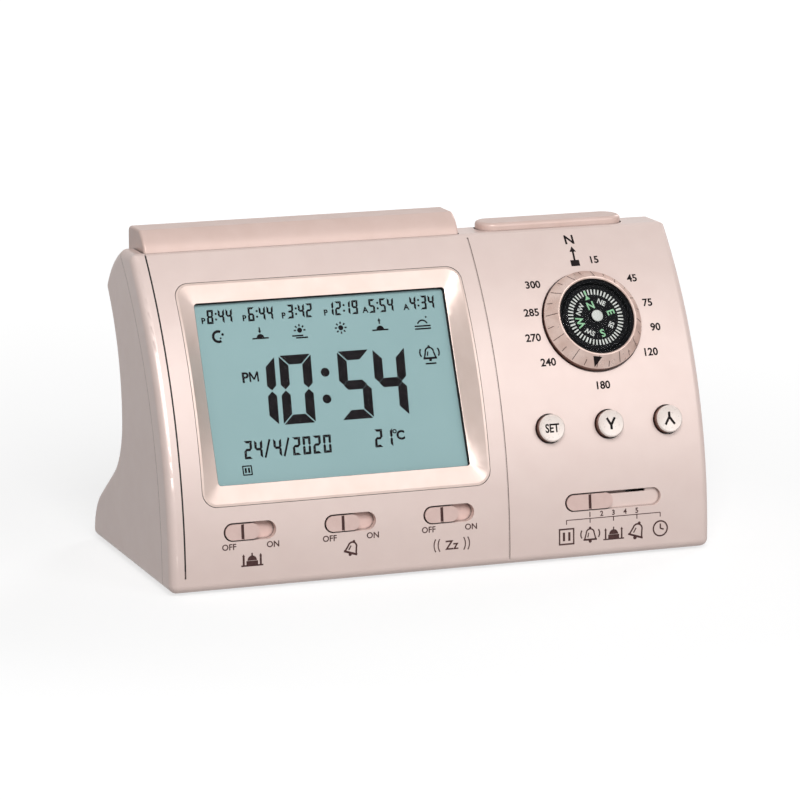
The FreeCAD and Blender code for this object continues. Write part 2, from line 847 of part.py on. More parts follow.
# ---------------------------------------------------------------- batteries and their door
door_top = base_z + s.door_thickness
cell_axis_z = door_top + s.gap * 3 + s.cell_radius
well_length = (
    f"Sizes.cell_length + Sizes.cell_tip_length + Sizes.spring_length + 2 * Sizes.contact_thickness"
    f" + 2 * Sizes.gap"
)
well_half = (
    s.cell_length + s.cell_tip_length + s.spring_length + 2 * s.contact_thickness + 2 * s.gap
) / 2
well_width = "4 * Sizes.cell_radius + Sizes.cell_gap + 6 * Sizes.gap"
well_middle = along(s.cell_front + 2 * s.cell_radius + s.cell_gap / 2)
cell_ys = [along(s.cell_front + s.cell_radius), along(s.cell_front + 3 * s.cell_radius + s.cell_gap)]
well_top = cell_axis_z + s.cell_radius + 3 * s.gap
toward_right = Rotation(Vector(0, 1, 0), 90)
toward_left = Rotation(Vector(0, 1, 0), -90)

battery_box = block(
    "battery_box", f"{well_length} + 2 * Sizes.box_wall", f"{well_width} + 2 * Sizes.box_wall",
    f"{well_top - base_z} + Sizes.box_wall", y=well_middle, z=base_z,
)
battery_well = block(
    "battery_well", well_length, well_width, f"{well_top - base_z} + Sizes.overshoot", y=well_middle,
    z=base_z - s.overshoot,
)
door_length = "Sizes.body_depth - Sizes.door_front"
door_middle = along((s.body_depth + s.door_front) / 2)
door_frame = block(
    "door_frame", "Sizes.door_width + 4 * Sizes.wall + 2 * Sizes.door_tongue",
    f"{door_length} + 2 * Sizes.wall", "Sizes.door_thickness + Sizes.gap + Sizes.box_wall",
    y=door_middle, z=base_z,
)
door_channel = block(
    "door_channel", "Sizes.door_width + 2 * Sizes.gap", f"{door_length} + 2 * Sizes.gap",
    "Sizes.door_thickness + Sizes.gap + Sizes.overshoot", y=door_middle, z=base_z - s.overshoot,
)
tongue_low = base_z + s.door_thickness / 3
door_grooves = block(
    "door_grooves", "Sizes.door_width + 2 * (Sizes.door_tongue + Sizes.gap)",
    f"{door_length} + 2 * Sizes.gap", "Sizes.door_thickness / 3 + 2 * Sizes.gap", y=door_middle,
    z=tongue_low - s.gap,
)


def cell_frame(start, y, side):
    """A frame on a cell's axis, at a distance from the clock's middle, that looks towards one side."""
    return Placement(Vector(-side * start, y, cell_axis_z), toward_right if side > 0 else toward_left)


def battery(name, y, side):
    """A round cell lying along X with its tip towards one side."""
    start = well_half - s.contact_thickness - s.gap - s.spring_length
    rim = s.cell_rim
    return node(name, turned(
        name, cell_frame(start, y, side), (0, 0), (s.cell_radius - rim, 0), (s.cell_radius, rim),
        (s.cell_radius, s.cell_length - rim), (s.cell_radius - rim, s.cell_length),
        (s.cell_tip_radius, s.cell_length), (s.cell_tip_radius, s.cell_length + s.cell_tip_length),
        (0, s.cell_length + s.cell_tip_length),
    ))


def contact_spring(name, y, side):
    """The coil that presses on a cell's flat end: its turns on one upright wire."""
    frame = cell_frame(well_half - s.contact_thickness - s.gap / 2 - s.spring_wire, y, side)
    pitch = (s.spring_length - 2 * s.spring_wire) / s.spring_turns
    turns = []
    for index in range(int(s.spring_turns) + 1):
        turn = bound(
            "Part::Torus", f"{name}_turn_{index}", Radius1="Sizes.spring_radius", Radius2="Sizes.spring_wire"
        )
        turn.Placement = local(frame, z=index * pitch)
        turns.append(turn)
    stem = rod(
        f"{name}_stem", "3 * Sizes.spring_wire / 4", "Sizes.spring_length - 2 * Sizes.spring_wire", frame,
        s.spring_radius,
    )
    return fuse(name, *turns, stem)


battery("battery_front", cell_ys[0], 1)
battery("battery_rear", cell_ys[1], -1)
node("contact_springs", group(
    "contact_springs", contact_spring("spring_front", cell_ys[0], 1),
    contact_spring("spring_rear", cell_ys[1], -1),
))
node("contact_plates", group("contact_plates", *[
    block(
        f"contact_plate_{side}", "Sizes.contact_thickness", f"{well_width} - 2 * Sizes.gap",
        "Sizes.contact_height", x=side * (well_half - s.contact_thickness / 2), y=well_middle,
        z=cell_axis_z - s.contact_height / 2,
    )
    for side in (-1, 1)
]))
node("battery_door", common(
    "battery_door",
    fuse(
        "door_whole",
        block("door_panel", "Sizes.door_width", door_length, "Sizes.door_thickness", y=door_middle, z=base_z),
        block(
            "door_tongues", "Sizes.door_width + 2 * Sizes.door_tongue", door_length,
            "Sizes.door_thickness / 3", y=door_middle, z=tongue_low,
        ),
    ),
    outer_form,
))

# ---------------------------------------------------------------- speaker
back_turn = math.asin((s.speaker_height - s.waist_height) / back_arc_radius())
speaker = Placement(
    Vector(
        across(from_right(s.speaker_place)),
        along(s.waist_depth) + back_arc_radius() * (1 - math.cos(back_turn)),
        base_z + s.speaker_height,
    ),
    Rotation(Vector(1, 0, 0), -90 - math.degrees(back_turn)),
)
speaker_face = -s.wall - 2 * s.gap
rim_width = s.speaker_rim
speaker_back = speaker_face - s.speaker_depth
node("speaker_basket", turned(
    "speaker_basket", speaker, (0, speaker_back), (s.speaker_magnet_radius, speaker_back),
    (s.speaker_magnet_radius, speaker_back + s.speaker_depth / 2),
    (s.speaker_radius, speaker_face - s.flange_thickness), (s.speaker_radius, speaker_face),
    (s.speaker_radius - rim_width, speaker_face),
    (s.speaker_magnet_radius - rim_width, speaker_back + s.speaker_depth / 2),
    (0, speaker_back + s.speaker_depth / 2),
))
node("speaker_cone", turned(
    "speaker_cone", speaker, (0, speaker_back + s.speaker_depth / 2 + s.gap),
    (s.speaker_magnet_radius - rim_width - s.gap, speaker_back + s.speaker_depth / 2 + s.gap),
    (s.speaker_radius - rim_width - 4 * s.gap, speaker_face - s.gap),
    (s.speaker_radius - 2 * rim_width - 2 * s.gap, speaker_face - s.gap),
    (s.speaker_magnet_radius - 2 * rim_width, speaker_back + s.speaker_depth / 2 + 3 * s.gap),
    (0, speaker_back + s.speaker_depth / 2 + 3 * s.gap),
))
collar_bore = s.speaker_radius + s.gap
collar_outside = s.speaker_radius + s.box_wall
speaker_collar = turned(
    "speaker_collar", speaker, (collar_bore, speaker_back), (collar_outside, speaker_back),
    (collar_outside, s.wall), (s.speaker_radius - rim_width, s.wall),
    (s.speaker_radius - rim_width, speaker_face), (collar_bore, speaker_face),
)
grille_rings = range(1, int((s.speaker_radius - 2 * rim_width) / s.grille_pitch) + 1)
grille_spots = [(0.0, 0.0)] + [
    (
        ring * s.grille_pitch * math.cos(math.tau * turn / (6 * ring)),
        ring * s.grille_pitch * math.sin(math.tau * turn / (6 * ring)),
    )
    for ring in grille_rings
    for turn in range(6 * ring)
]
grille_holes = [
    rod(f"grille_hole_{index}", "Sizes.grille_hole_radius", "4 * Sizes.wall", speaker, x, y, -2 * s.wall)
    for index, (x, y) in enumerate(grille_spots)
]

# ---------------------------------------------------------------- rear shell
lip_inset = s.wall + s.gap
lip_outer = casing_form("lip_outer", lip_inset, f"Sizes.body_width - {2 * lip_inset}")
lip_inner = casing_form(
    "lip_inner", lip_inset + s.lip_thickness, f"Sizes.body_width - {2 * (lip_inset + s.lip_thickness)}"
)
lip_drum = drum("lip_drum", "Sizes.front_radius - Sizes.seam_depth + Sizes.lip_depth", "Sizes.body_width")
root_drum = drum("root_drum", "Sizes.front_radius - Sizes.seam_depth - Sizes.lip_depth", "Sizes.body_width")
seam_lip = cut(
    "seam_lip", common("lip_zone", lip_outer, lip_drum), lip_inner, root_drum,
    *both_pockets("lip_well", s.wall + s.gap),
)
lip_root = cut(
    "lip_root", common("root_zone", inner_form, rear_drum), lip_inner, root_drum,
    *both_pockets("root_well", s.wall + s.gap),
)

posts = []
post_bores = []
post_heads = []
for index, (x, seat, z) in enumerate(case_screws_at):
    head_seat = along(seat) + s.gap + s.wall
    posts.append(rod(
        f"post_{index}", "Sizes.case_screw_head + Sizes.gap * 2 + Sizes.post_wall", "Sizes.body_depth",
        x=x, y=along(seat) + s.gap, z=z, rotation=toward_back,
    ))
    post_bores.append(rod(
        f"post_bore_{index}", "Sizes.case_screw_radius + Sizes.gap", "Sizes.body_depth",
        x=x, y=along(seat) - s.wall, z=z, rotation=toward_back,
    ))
    post_heads.append(rod(
        f"post_head_{index}", "Sizes.case_screw_head + Sizes.gap * 2", "Sizes.body_depth",
        x=x, y=head_seat, z=z, rotation=toward_back,
    ))

top_board_z = top_z - s.top_board_drop
top_board_y = along(s.top_board_depth)
top_screws = [
    (bar_x + s.bar_screw_shift, s.bar_pocket_depth),
    (key_x - s.key_screw_shift, s.key_pocket_depth),
]
top_bosses = [
    rod(
        f"top_boss_{index}", "Sizes.board_screw_radius + Sizes.post_wall",
        f"{top_z - depth - s.wall / 2 - top_board_z}", x=x, y=top_board_y, z=top_board_z,
    )
    for index, (x, depth) in enumerate(top_screws)
]
top_pilots = [
    rod(
        f"top_pilot_{index}", "Sizes.board_screw_radius + Sizes.close_gap", pilot_length,
        x=x, y=top_board_y, z=top_board_z,
    )
    for index, (x, _) in enumerate(top_screws)
]
rear_ribs = common(
    "rear_ribs", fuse("rear_rib_set", *posts, battery_box, door_frame, speaker_collar, *top_bosses),
    core_form,
)
rear_shell = node("rear_shell", cut(
    "rear_shell", fuse("rear_whole", rear_raw, rear_ribs, seam_lip, lip_root), battery_well, door_channel,
    door_grooves, *post_bores, *post_heads, *grille_holes, *top_pilots, *top_holes,
))


# ---------------------------------------------------------------- display
def bezel_wire(half_width, half_height, corner, surface):
    """A rounded rectangle whose heights follow a surface: lines and arcs through three points."""
    flat = half_width - corner
    tall = half_height - corner
    turn = corner * (1 - math.sqrt(0.5))
    sides = [(1, 1), (-1, 1), (-1, -1), (1, -1)]
    edges = []
    for index, (x_side, y_side) in enumerate(sides):
        next_x, next_y = sides[(index + 1) % 4]
        ends = [
            (x_side * half_width, y_side * tall),
            (x_side * (half_width - turn), y_side * (half_height - turn)),
            (x_side * flat, y_side * half_height),
        ]
        if x_side != y_side:
            ends.reverse()
        if x_side == y_side:
            onward = (next_x * flat, next_y * half_height)
        else:
            onward = (next_x * half_width, next_y * tall)
        start, middle, end = [Vector(x, y, surface(y)) for x, y in ends]
        goal = Vector(onward[0], onward[1], surface(onward[1]))
        edges.append(Part.Arc(start, middle, end).toShape())
        half_way = Vector(goal.x, 0, surface(0))
        if abs(end.y - goal.y) < CLOSE or abs(half_way.z - end.z) < CLOSE:
            edges.append(Part.LineSegment(end, goal).toShape())
        else:
            edges.append(Part.Arc(end, half_way, goal).toShape())
    return Part.Wire(edges)


def arch(y):
    """Height of the arched front above the display's tangent plane."""
    return math.sqrt(s.front_radius**2 - y**2) - s.front_radius


rim_half = (bezel_half[0] - s.bezel_rim, bezel_half[1] - s.bezel_rim)
window_half = (s.window_width / 2, s.window_height / 2)
dish = doc.addObject("Part::Feature", "bezel_dish")
dish.Shape = Part.makeLoft(
    [
        bezel_wire(*window_half, s.window_corner, lambda y: -s.window_recess),
        bezel_wire(*rim_half, s.bezel_corner - s.bezel_rim, arch),
        bezel_wire(*rim_half, s.bezel_corner - s.bezel_rim, lambda y: s.window_recess),
    ],
    True,
    True,
)
dish.Placement = display
bezel_blank = plate(
    "bezel_blank", bezel_width, bezel_height, f"{opening_reach}", corner="Sizes.bezel_corner",
    frame=display, z=bezel_bottom,
)
front_drum = drum("front_drum", "Sizes.front_radius", "Sizes.body_width")
window_opening = plate(
    "window_opening", "Sizes.window_width", "Sizes.window_height", "2 * Sizes.window_land",
    corner="Sizes.window_corner", frame=display, z=bezel_bottom - s.window_land / 2,
)
node("display_bezel", cut(
    "display_bezel", common("bezel_arched", bezel_blank, front_drum), dish, window_opening
))

stack_width = "Sizes.window_width + 2 * Sizes.window_lap_side"
stack_height = "Sizes.window_height + 2 * Sizes.window_lap_end"
window_back = bezel_bottom - s.close_gap - s.window_thickness
glass_back = window_back - s.close_gap - s.glass_thickness
guide_back = glass_back - s.close_gap - s.guide_thickness
node("display_window", plate(
    "display_window", stack_width, stack_height, "Sizes.window_thickness", frame=display, z=window_back
))
node("lcd_glass", plate(
    "lcd_glass", stack_width, stack_height, "Sizes.glass_thickness", frame=display, z=glass_back
))
node("light_guide", plate(
    "light_guide", "Sizes.window_width", "Sizes.window_height - 2 * Sizes.gap", "Sizes.guide_thickness",
    frame=display, z=guide_back,
))
holder_height = f"{bezel_bottom - display_board_top} - Sizes.close_gap"
node("lcd_holder", cut(
    "lcd_holder",
    plate(
        "holder_blank", f"{stack_width} + 2 * (Sizes.gap + Sizes.holder_wall)",
        f"{stack_height} + 2 * (Sizes.gap + Sizes.holder_wall)", holder_height, frame=display,
        z=display_board_top,
    ),
    plate(
        "holder_room", f"{stack_width} + 2 * Sizes.gap", f"{stack_height} + 2 * Sizes.gap",
        f"{holder_height} + 2 * Sizes.overshoot", frame=display, z=display_board_top - s.overshoot,
    ),
))
strip_y = s.window_height / 2 + s.strip_thickness / 2 + s.gap
node("contact_strips", group("contact_strips", *[
    block(
        f"contact_strip_{side}", "Sizes.window_width", "Sizes.strip_thickness",
        f"{glass_back - display_board_top}", display, y=side * strip_y, z=display_board_top,
    )
    for side in (-1, 1)
]))
led_x = s.window_width / 2 + s.window_lap_side / 2
node("backlight_led", block(
    "backlight_led", "Sizes.window_lap_side - 2 * Sizes.gap", "Sizes.strip_thickness * 2",
    f"{glass_back - display_board_top} - Sizes.gap", display, x=led_x, z=display_board_top,
))


def board(name, length, width, top, frame, holes, x=0.0):
    """A printed board whose top lies at a height, with clearance holes for its screws."""
    thickness = s.board_thickness
    blank = plate(
        name + "_blank", length, width, "Sizes.board_thickness", frame=frame, x=x, z=top - thickness
    )
    drills = [
        rod(
            f"{name}_hole_{index}", "Sizes.board_screw_radius + Sizes.gap", "3 * Sizes.board_thickness",
            frame, hole_x, hole_y, top - 2 * thickness,
        )
        for index, (hole_x, hole_y) in enumerate(holes)
    ]
    return node(name, cut(name, blank, *drills))


board(
    "display_board",
    "Sizes.window_width + 2 * (Sizes.display_screw_reach + Sizes.display_board_margin)",
    "Sizes.window_height + 2 * Sizes.display_board_end", display_board_top, display, display_screws,
)
board_back = display_board_top - s.board_thickness
node("clock_chip", plate(
    "clock_chip", "Sizes.chip_size", "Sizes.chip_size", "Sizes.chip_thickness", corner="Sizes.window_corner",
    frame=display, x=-s.chip_shift, z=board_back - s.chip_thickness,
))
node("clock_crystal", rod(
    "clock_crystal", "Sizes.crystal_radius", "Sizes.crystal_length", display, -s.crystal_shift,
    -s.crystal_drop, board_back - s.crystal_radius, toward_right,
))
node("board_capacitors", group("board_capacitors", *[
    rod(
        f"board_capacitor_{index}", "Sizes.capacitor_radius", "Sizes.capacitor_height", display,
        s.capacitor_shift, shift * s.capacitor_pitch, board_back - s.capacitor_height,
    )
    for index, shift in enumerate((-1, 0, 1))
]))
node("temperature_sensor", rod(
    "temperature_sensor", "Sizes.sensor_radius", "Sizes.sensor_length", display, -s.window_width / 2,
    -s.sensor_drop, board_back - s.sensor_length,
))

# ---------------------------------------------------------------- slide switches
board(
    "switch_board", "Sizes.body_width - 2 * (Sizes.wall + Sizes.lip_thickness)", "Sizes.switch_board_height",
    switch_board_top, mode, [(place - mode_place, 0.0) for place in switch_board_screws],
    x=s.body_width / 2 - mode_place,
)


def switch_housing(name, frame, length, travel):
    """The frame of a slide switch on its board, open on top for the lever."""
    return cut(
        name,
        block(
            name + "_blank", length, "Sizes.switch_body_height", "Sizes.switch_body_depth", frame,
            z=switch_board_top,
        ),
        block(
            name + "_slot", f"{travel} + Sizes.lever_width + 2 * Sizes.gap",
            "Sizes.lever_height + 2 * Sizes.gap", "Sizes.switch_body_depth", frame,
            z=switch_board_top + s.switch_body_depth / 2,
        ),
    )


node("slide_switches", group("slide_switches", *[
    switch_housing(f"slide_switch_{index}", frame, "Sizes.switch_body_length", "Sizes.switch_travel")
    for index, frame in enumerate(switches)
]))
node("mode_switch", switch_housing(
    "mode_switch", mode, f"{mode_reach} + Sizes.switch_body_length - Sizes.switch_travel", mode_reach
))
flange_top = -s.wall - 2 * s.gap
flange_bottom = flange_top - s.flange_thickness
lever_bottom = switch_board_top + s.switch_body_depth / 2 + s.gap
lever_top = flange_bottom - s.close_gap
tine_bottom = switch_board_top + s.switch_body_depth + s.gap


def switch_knob(name, frame, length, travel, pill_bottom, *necks):
    """A sliding knob, its flange behind the front and the two tines that hold the switch's lever."""
    rest = -travel / 2
    width = s.slot_height - 2 * s.slot_gap
    pill = stadium(
        name + "_pill", length, width, f"{-pill_bottom} + Sizes.knob_proud", frame, x=rest, z=pill_bottom
    )
    flange = block(
        name + "_flange", f"{length} + 2 * Sizes.flange_reach", "Sizes.flange_height",
        "Sizes.flange_thickness", frame, x=rest, z=flange_bottom,
    )
    tines = [
        block(
            f"{name}_tine_{side}", "Sizes.post_wall", "Sizes.tine_height",
            f"{flange_bottom - tine_bottom}", frame,
            x=rest + side * (s.lever_width / 2 + s.close_gap + s.post_wall / 2), z=tine_bottom,
        )
        for side in (-1, 1)
    ]
    notch = block(
        name + "_notch", "Sizes.knob_notch_width", "Sizes.slot_height", "Sizes.knob_proud", frame, x=rest,
        z=s.knob_proud - s.knob_notch_depth,
    )
    node(name + "_knob", cut(name + "_knob", fuse(name + "_whole", pill, flange, *necks, *tines), notch))
    node(name + "_lever", block(
        name + "_lever", "Sizes.lever_width", "Sizes.lever_height", f"{lever_top - lever_bottom}", frame,
        x=rest, z=lever_bottom,
    ))


for name, frame in zip(("azan_switch", "alarm_switch", "snooze_switch"), switches):
    switch_knob(name, frame, s.knob_length, s.switch_travel, flange_bottom)
mode_pill_bottom = s.gap - s.mode_pocket_depth
mode_neck = block(
    "mode_neck", "Sizes.neck_length", "Sizes.neck_height", f"{mode_pill_bottom - flange_bottom} + Sizes.gap",
    mode, x=-mode_travel / 2, y=neck_y, z=flange_bottom,
)
switch_knob("mode_selector", mode, s.mode_knob_length, mode_travel, mode_pill_bottom, mode_neck)

# ---------------------------------------------------------------- push buttons
board(
    "key_board", "2 * (Sizes.button_pitch + Sizes.key_board_margin) + Sizes.tact_width",
    "Sizes.key_board_height", key_board_top, keys, key_screws,
)


def tact_switch(name, frame, x, y, board_top):
    """A small square push switch standing on a board."""
    return fuse(
        name,
        block(
            name + "_case", "Sizes.tact_width", "Sizes.tact_width", "Sizes.tact_depth", frame, x, y,
            board_top,
        ),
        rod(
            name + "_cap", "Sizes.tact_cap_radius", "Sizes.tact_depth + Sizes.tact_cap_height", frame, x, y,
            board_top,
        ),
    )


node("key_switches", group("key_switches", *[
    tact_switch(f"key_switch_{index}", keys, shift, 0.0, key_board_top)
    for index, shift in enumerate(button_shifts)
]))
stem_bottom = key_board_top + s.tact_depth + s.tact_cap_height + s.button_travel + s.close_gap
collar_radius = s.button_radius + s.button_flange


def push_button(name, shift):
    """A round cap with a dished top, a flange behind the front and a stem over its switch."""
    edge = s.button_dish
    rim = s.button_radius - edge
    dish_radius = (rim**2 + s.button_dish**2) / (2 * s.button_dish)
    axis = (0, s.button_proud - s.button_dish + dish_radius)
    low = (0, s.button_proud - s.button_dish)
    high = (rim, s.button_proud)
    node(name, turned(
        name, local(keys, shift), (0, stem_bottom), (s.tact_cap_radius, stem_bottom),
        (s.tact_cap_radius, flange_bottom), (collar_radius, flange_bottom), (collar_radius, flange_top),
        (s.button_radius, flange_top), (s.button_radius, s.button_proud - edge), high,
        (arc_middle(axis, high, low), low),
    ))


for name, shift in zip(("set_button", "down_button", "up_button"), button_shifts):
    push_button(name, shift)

# ---------------------------------------------------------------- compass
bore_radius = s.capsule_radius + s.running_gap
ring_bottom = -s.ring_sink + s.gap
sleeve_bottom = -seat_depth - s.gap - s.retainer_thickness
node("compass_ring", turned(
    "compass_ring", compass, (bore_radius, sleeve_bottom), (sleeve_radius, sleeve_bottom),
    (sleeve_radius, ring_bottom), (s.ring_radius, ring_bottom), (s.ring_radius, s.ring_edge),
    (bore_radius + s.ring_rim, s.ring_proud), (bore_radius + s.ring_lip, s.ring_proud),
    (bore_radius, s.ring_proud - s.ring_lip),
))
node("ring_retainer", turned(
    "ring_retainer", compass, (sleeve_radius, sleeve_bottom), (retainer_radius, sleeve_bottom),
    (retainer_radius, sleeve_bottom + s.retainer_thickness),
    (sleeve_radius, sleeve_bottom + s.retainer_thickness),
))
cup_bottom = -seat_depth
cup_floor = cup_bottom + s.capsule_wall
cup_bore = s.capsule_radius - s.capsule_wall
node("compass_cup", turned(
    "compass_cup", compass, (0, cup_bottom), (s.capsule_radius, cup_bottom),
    (s.capsule_radius, s.capsule_rise), (cup_bore, s.capsule_rise), (cup_bore, cup_floor), (0, cup_floor),
))
tip = s.card_lift + s.card_thickness
node("compass_pivot", turned(
    "compass_pivot", compass, (0, cup_floor), (s.pivot_radius, cup_floor),
    (s.pivot_radius, tip - s.pivot_cone), (0, tip),
))
hub_top = s.card_hub_height
hub_bore = s.pivot_radius + s.gap
hub_roof = s.card_thickness + s.close_gap
node("compass_card", turned(
    "compass_card", local(compass, z=s.card_lift, rotation=Rotation(Vector(0, 0, 1), s.card_tilt)),
    (hub_bore, 0), (s.card_radius, 0), (s.card_radius, s.card_thickness),
    (s.card_hub_radius, s.card_thickness), (s.card_hub_radius, hub_top), (0, hub_top),
    (0, hub_roof), (hub_bore, hub_roof),
))
node("compass_magnet", turned(
    "compass_magnet", local(compass, z=s.card_lift), (s.card_hub_radius, -s.magnet_thickness),
    (s.magnet_radius, -s.magnet_thickness), (s.magnet_radius, 0), (s.card_hub_radius, 0),
))


def cap_axis(radius, low, high):
    """Centre of the arc that rises from a height at a radius to a level top on the axis."""
    rise = high - low
    return (0, high - (radius**2 + rise**2) / (2 * rise))


dome_edge = s.capsule_radius - s.gap
dome_seat = s.capsule_rise
dome_low = (dome_edge, dome_seat + s.dome_wall)
dome_high = (0, dome_seat + s.dome_wall + s.dome_rise)
hollow_high = (0, dome_seat + s.dome_rise)
hollow_low = (cup_bore, dome_seat)
node("compass_dome", turned(
    "compass_dome", compass, hollow_low, (dome_edge, dome_seat), dome_low,
    (arc_middle(cap_axis(dome_edge, dome_low[1], dome_high[1]), dome_low, dome_high), dome_high),
    hollow_high,
    (arc_middle(cap_axis(cup_bore, dome_seat, hollow_high[1]), hollow_high, hollow_low), hollow_low),
))
carrier_holes = [
    rod(
        f"carrier_hole_{side}", "Sizes.board_screw_radius + Sizes.gap", "3 * Sizes.board_thickness",
        compass, side * s.carrier_screw_reach, 0.0, carrier_top - 2 * s.board_thickness,
    )
    for side in (-1, 1)
]
node("compass_carrier", cut(
    "compass_carrier",
    fuse(
        "carrier_whole",
        plate(
            "carrier_plate",
            "2 * (Sizes.carrier_screw_reach + Sizes.board_screw_radius + 2 * Sizes.post_wall)",
            "Sizes.ring_radius", "Sizes.board_thickness", frame=compass, z=carrier_top - s.board_thickness,
        ),
        rod(
            "carrier_pedestal", f"{cup_bore}", f"{cup_bottom - carrier_top} + Sizes.board_thickness", compass,
            z=carrier_top - s.board_thickness,
        ),
    ),
    *carrier_holes,
))

# ---------------------------------------------------------------- snooze bar and light key
top_board_x = (bar_x + key_x) / 2
board(
    "top_board", f"{key_x - bar_x} + Sizes.bar_screw_shift", "Sizes.top_board_width", top_board_z,
    Placement(Vector(top_board_x, top_board_y, 0), Rotation()),
    [(x - top_board_x, 0.0) for x, _ in top_screws],
)
node("top_switches", group("top_switches", *[
    tact_switch(f"top_switch_{name}", WORLD, x, top_board_y, top_board_z) for name, x, _ in plungers
]))
cap_z = top_board_z + s.tact_depth + s.tact_cap_height


def legs(kind, travel, roof):
    """The plunger and the snap hooks under a sprung top piece."""
    made = [
        rod(
            f"{name}_plunger", "Sizes.plunger_radius", f"{roof - cap_z - travel - s.close_gap}",
            x=x, y=top_board_y, z=cap_z + travel + s.close_gap,
        )
        for name, x, _ in plungers if name == kind
    ]
    for index, (name, x, depth) in enumerate(hooks):
        if name != kind:
            continue
        floor = top_z - depth - s.wall
        shank, head = s.hook_radius, s.hook_radius + s.hook_head
        frame = Placement(Vector(x, top_board_y, 0), Rotation())
        made.append(turned(
            f"{kind}_hook_{index}", frame, (0, floor - s.gap - s.hook_head),
            (head, floor - s.gap - s.hook_head), (head, floor - s.gap), (shank, floor - s.gap),
            (shank, roof), (0, roof),
        ))
    return made


bar_bottom = top_z - s.bar_pocket_depth + s.bar_travel + s.gap
bar_top = top_z + s.bar_proud


def bar_form(name, inset, length, bottom):
    """The bar's bullnosed section, inset all round but open below, of a bound length."""
    nose = (along(s.bar_front) + inset, top_z)
    crest = (along(s.bar_front) + s.bar_crest + inset / 2, bar_top - inset)
    lean = math.atan2(crest[1] - nose[1], crest[0] - nose[0])
    middle = (
        (nose[0] + crest[0]) / 2 - s.bar_bulge * math.sin(lean),
        (nose[1] + crest[1]) / 2 + s.bar_bulge * math.cos(lean),
    )
    back = along(s.bar_back) - inset
    corner = s.bar_wall - inset / 2
    body = new_body(name, Placement(Vector(bar_x, 0, 0), Rotation()))
    sketch = new_sketch(body, "YZ_Plane")
    draw_outline(
        sketch, (nose[0], bottom), (back, bottom), (back, bar_top - inset - corner),
        (
            (back - corner * (1 - math.sqrt(0.5)), bar_top - inset - corner * (1 - math.sqrt(0.5))),
            (back - corner, bar_top - inset),
        ),
        crest, (middle, nose),
    )
    pad(body, sketch, length, both_ways=True)
    return body


bar_outer = bar_form("bar_outer", 0.0, "Sizes.bar_length", bar_bottom)


def on_bar_end(edge):
    """True for the edges of the bar's two ends above its open bottom."""
    return on_ends(edge, s.bar_length / 2) and edge.CenterOfMass.z > bar_bottom + CLOSE


round_edges(bar_outer, bar_outer.Tip, "Sizes.bar_end_rounding", on_bar_end)
bar_inner = bar_form(
    "bar_inner", s.bar_wall, "Sizes.bar_length - 2 * Sizes.bar_wall", bar_bottom - s.bar_wall
)
node("snooze_bar", fuse(
    "snooze_bar", cut("bar_cap", bar_outer, bar_inner), *legs("bar", s.bar_travel, bar_top - s.bar_wall / 2)
))
key_bottom = top_z - s.key_pocket_depth + s.key_travel + s.gap
key_middle = along((s.key_front + s.key_back) / 2)
key_tall = f"{top_z - key_bottom} + Sizes.key_proud"
key_cap = plate(
    "key_cap", "Sizes.key_length", "Sizes.key_back - Sizes.key_front", key_tall, corner="Sizes.key_corner",
    x=key_x, y=key_middle, z=key_bottom, top_rounding="Sizes.key_rounding",
)
key_room = plate(
    "key_room", "Sizes.key_length - 2 * Sizes.bar_wall",
    "Sizes.key_back - Sizes.key_front - 2 * Sizes.bar_wall", key_tall,
    corner="Sizes.key_corner - Sizes.bar_wall", x=key_x, y=key_middle, z=key_bottom - s.bar_wall,
)
node("light_key", fuse(
    "light_key", cut("key_shell", key_cap, key_room),
    *legs("key", s.key_travel, top_z + s.key_proud - s.bar_wall / 2),
))


# ---------------------------------------------------------------- fasteners and feet
def screw(name, frame, kind):
    """A pan-head screw whose head's underside lies at the frame's origin."""
    shank, head = s[kind + "_radius"], s[kind + "_head"]
    height, length = s[kind + "_head_height"], s[kind + "_length"]
    bevel = height / 2
    return turned(
        name, frame, (0, -height), (head - bevel, -height), (head, -bevel), (head, 0), (shank, 0),
        (shank, length - shank), (shank / 3, length), (0, length),
    )


case_screws = []
for index, (x, seat, z) in enumerate(case_screws_at):
    frame = Placement(
        Vector(x, along(seat) + s.gap + s.wall, z), Rotation(Vector(1, 0, 0), 90)
    )
    case_screws.append(screw(f"case_screw_{index}", frame, "case_screw"))
node("case_screws", group("case_screws", *case_screws))

board_screw_frames = [
    local(frame, x, y, seat - s.board_thickness) for frame, seat, x, y in board_fixings
] + [
    Placement(Vector(x, top_board_y, top_board_z - s.board_thickness), Rotation()) for x, _ in top_screws
]
node("board_screws", group("board_screws", *[
    screw(f"board_screw_{index}", frame, "board_screw") for index, frame in enumerate(board_screw_frames)
]))
node("rubber_feet", group("rubber_feet", *[
    rod(
        f"rubber_foot_{x_side}_{y_side}", "Sizes.foot_radius", "Sizes.foot_height",
        x=x_side * (end_x - s.foot_inset_side), y=y_side * (s.body_depth / 2 - s.foot_inset_depth),
    )
    for x_side in (-1, 1)
    for y_side in (-1, 1)
]))

# ---------------------------------------------------------------- check and write
doc.recompute()
for made in doc.Objects:
    if "Invalid" in made.State or "Error" in made.State:
        raise RuntimeError(f"{made.Name} did not recompute: {made.State}")
for name, made in nodes.items():
    if made.Shape.isNull() or not made.Shape.isValid() or not made.Shape.Solids:
        raise RuntimeError(f"{name} has no valid solid")
os.makedirs("parts", exist_ok=True)
for name, made in nodes.items():
    made.Shape.exportStep(f"parts/{name}.step")
print(len(nodes), "nodes written")
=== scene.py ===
"""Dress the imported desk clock: its finishes, printed marks, display segments and compass card."""

from __future__ import annotations

import json
import logging
import math
from dataclasses import dataclass, field
from enum import Enum
from typing import Callable, Sequence

import bmesh
import bpy
from mathutils import Matrix, Vector

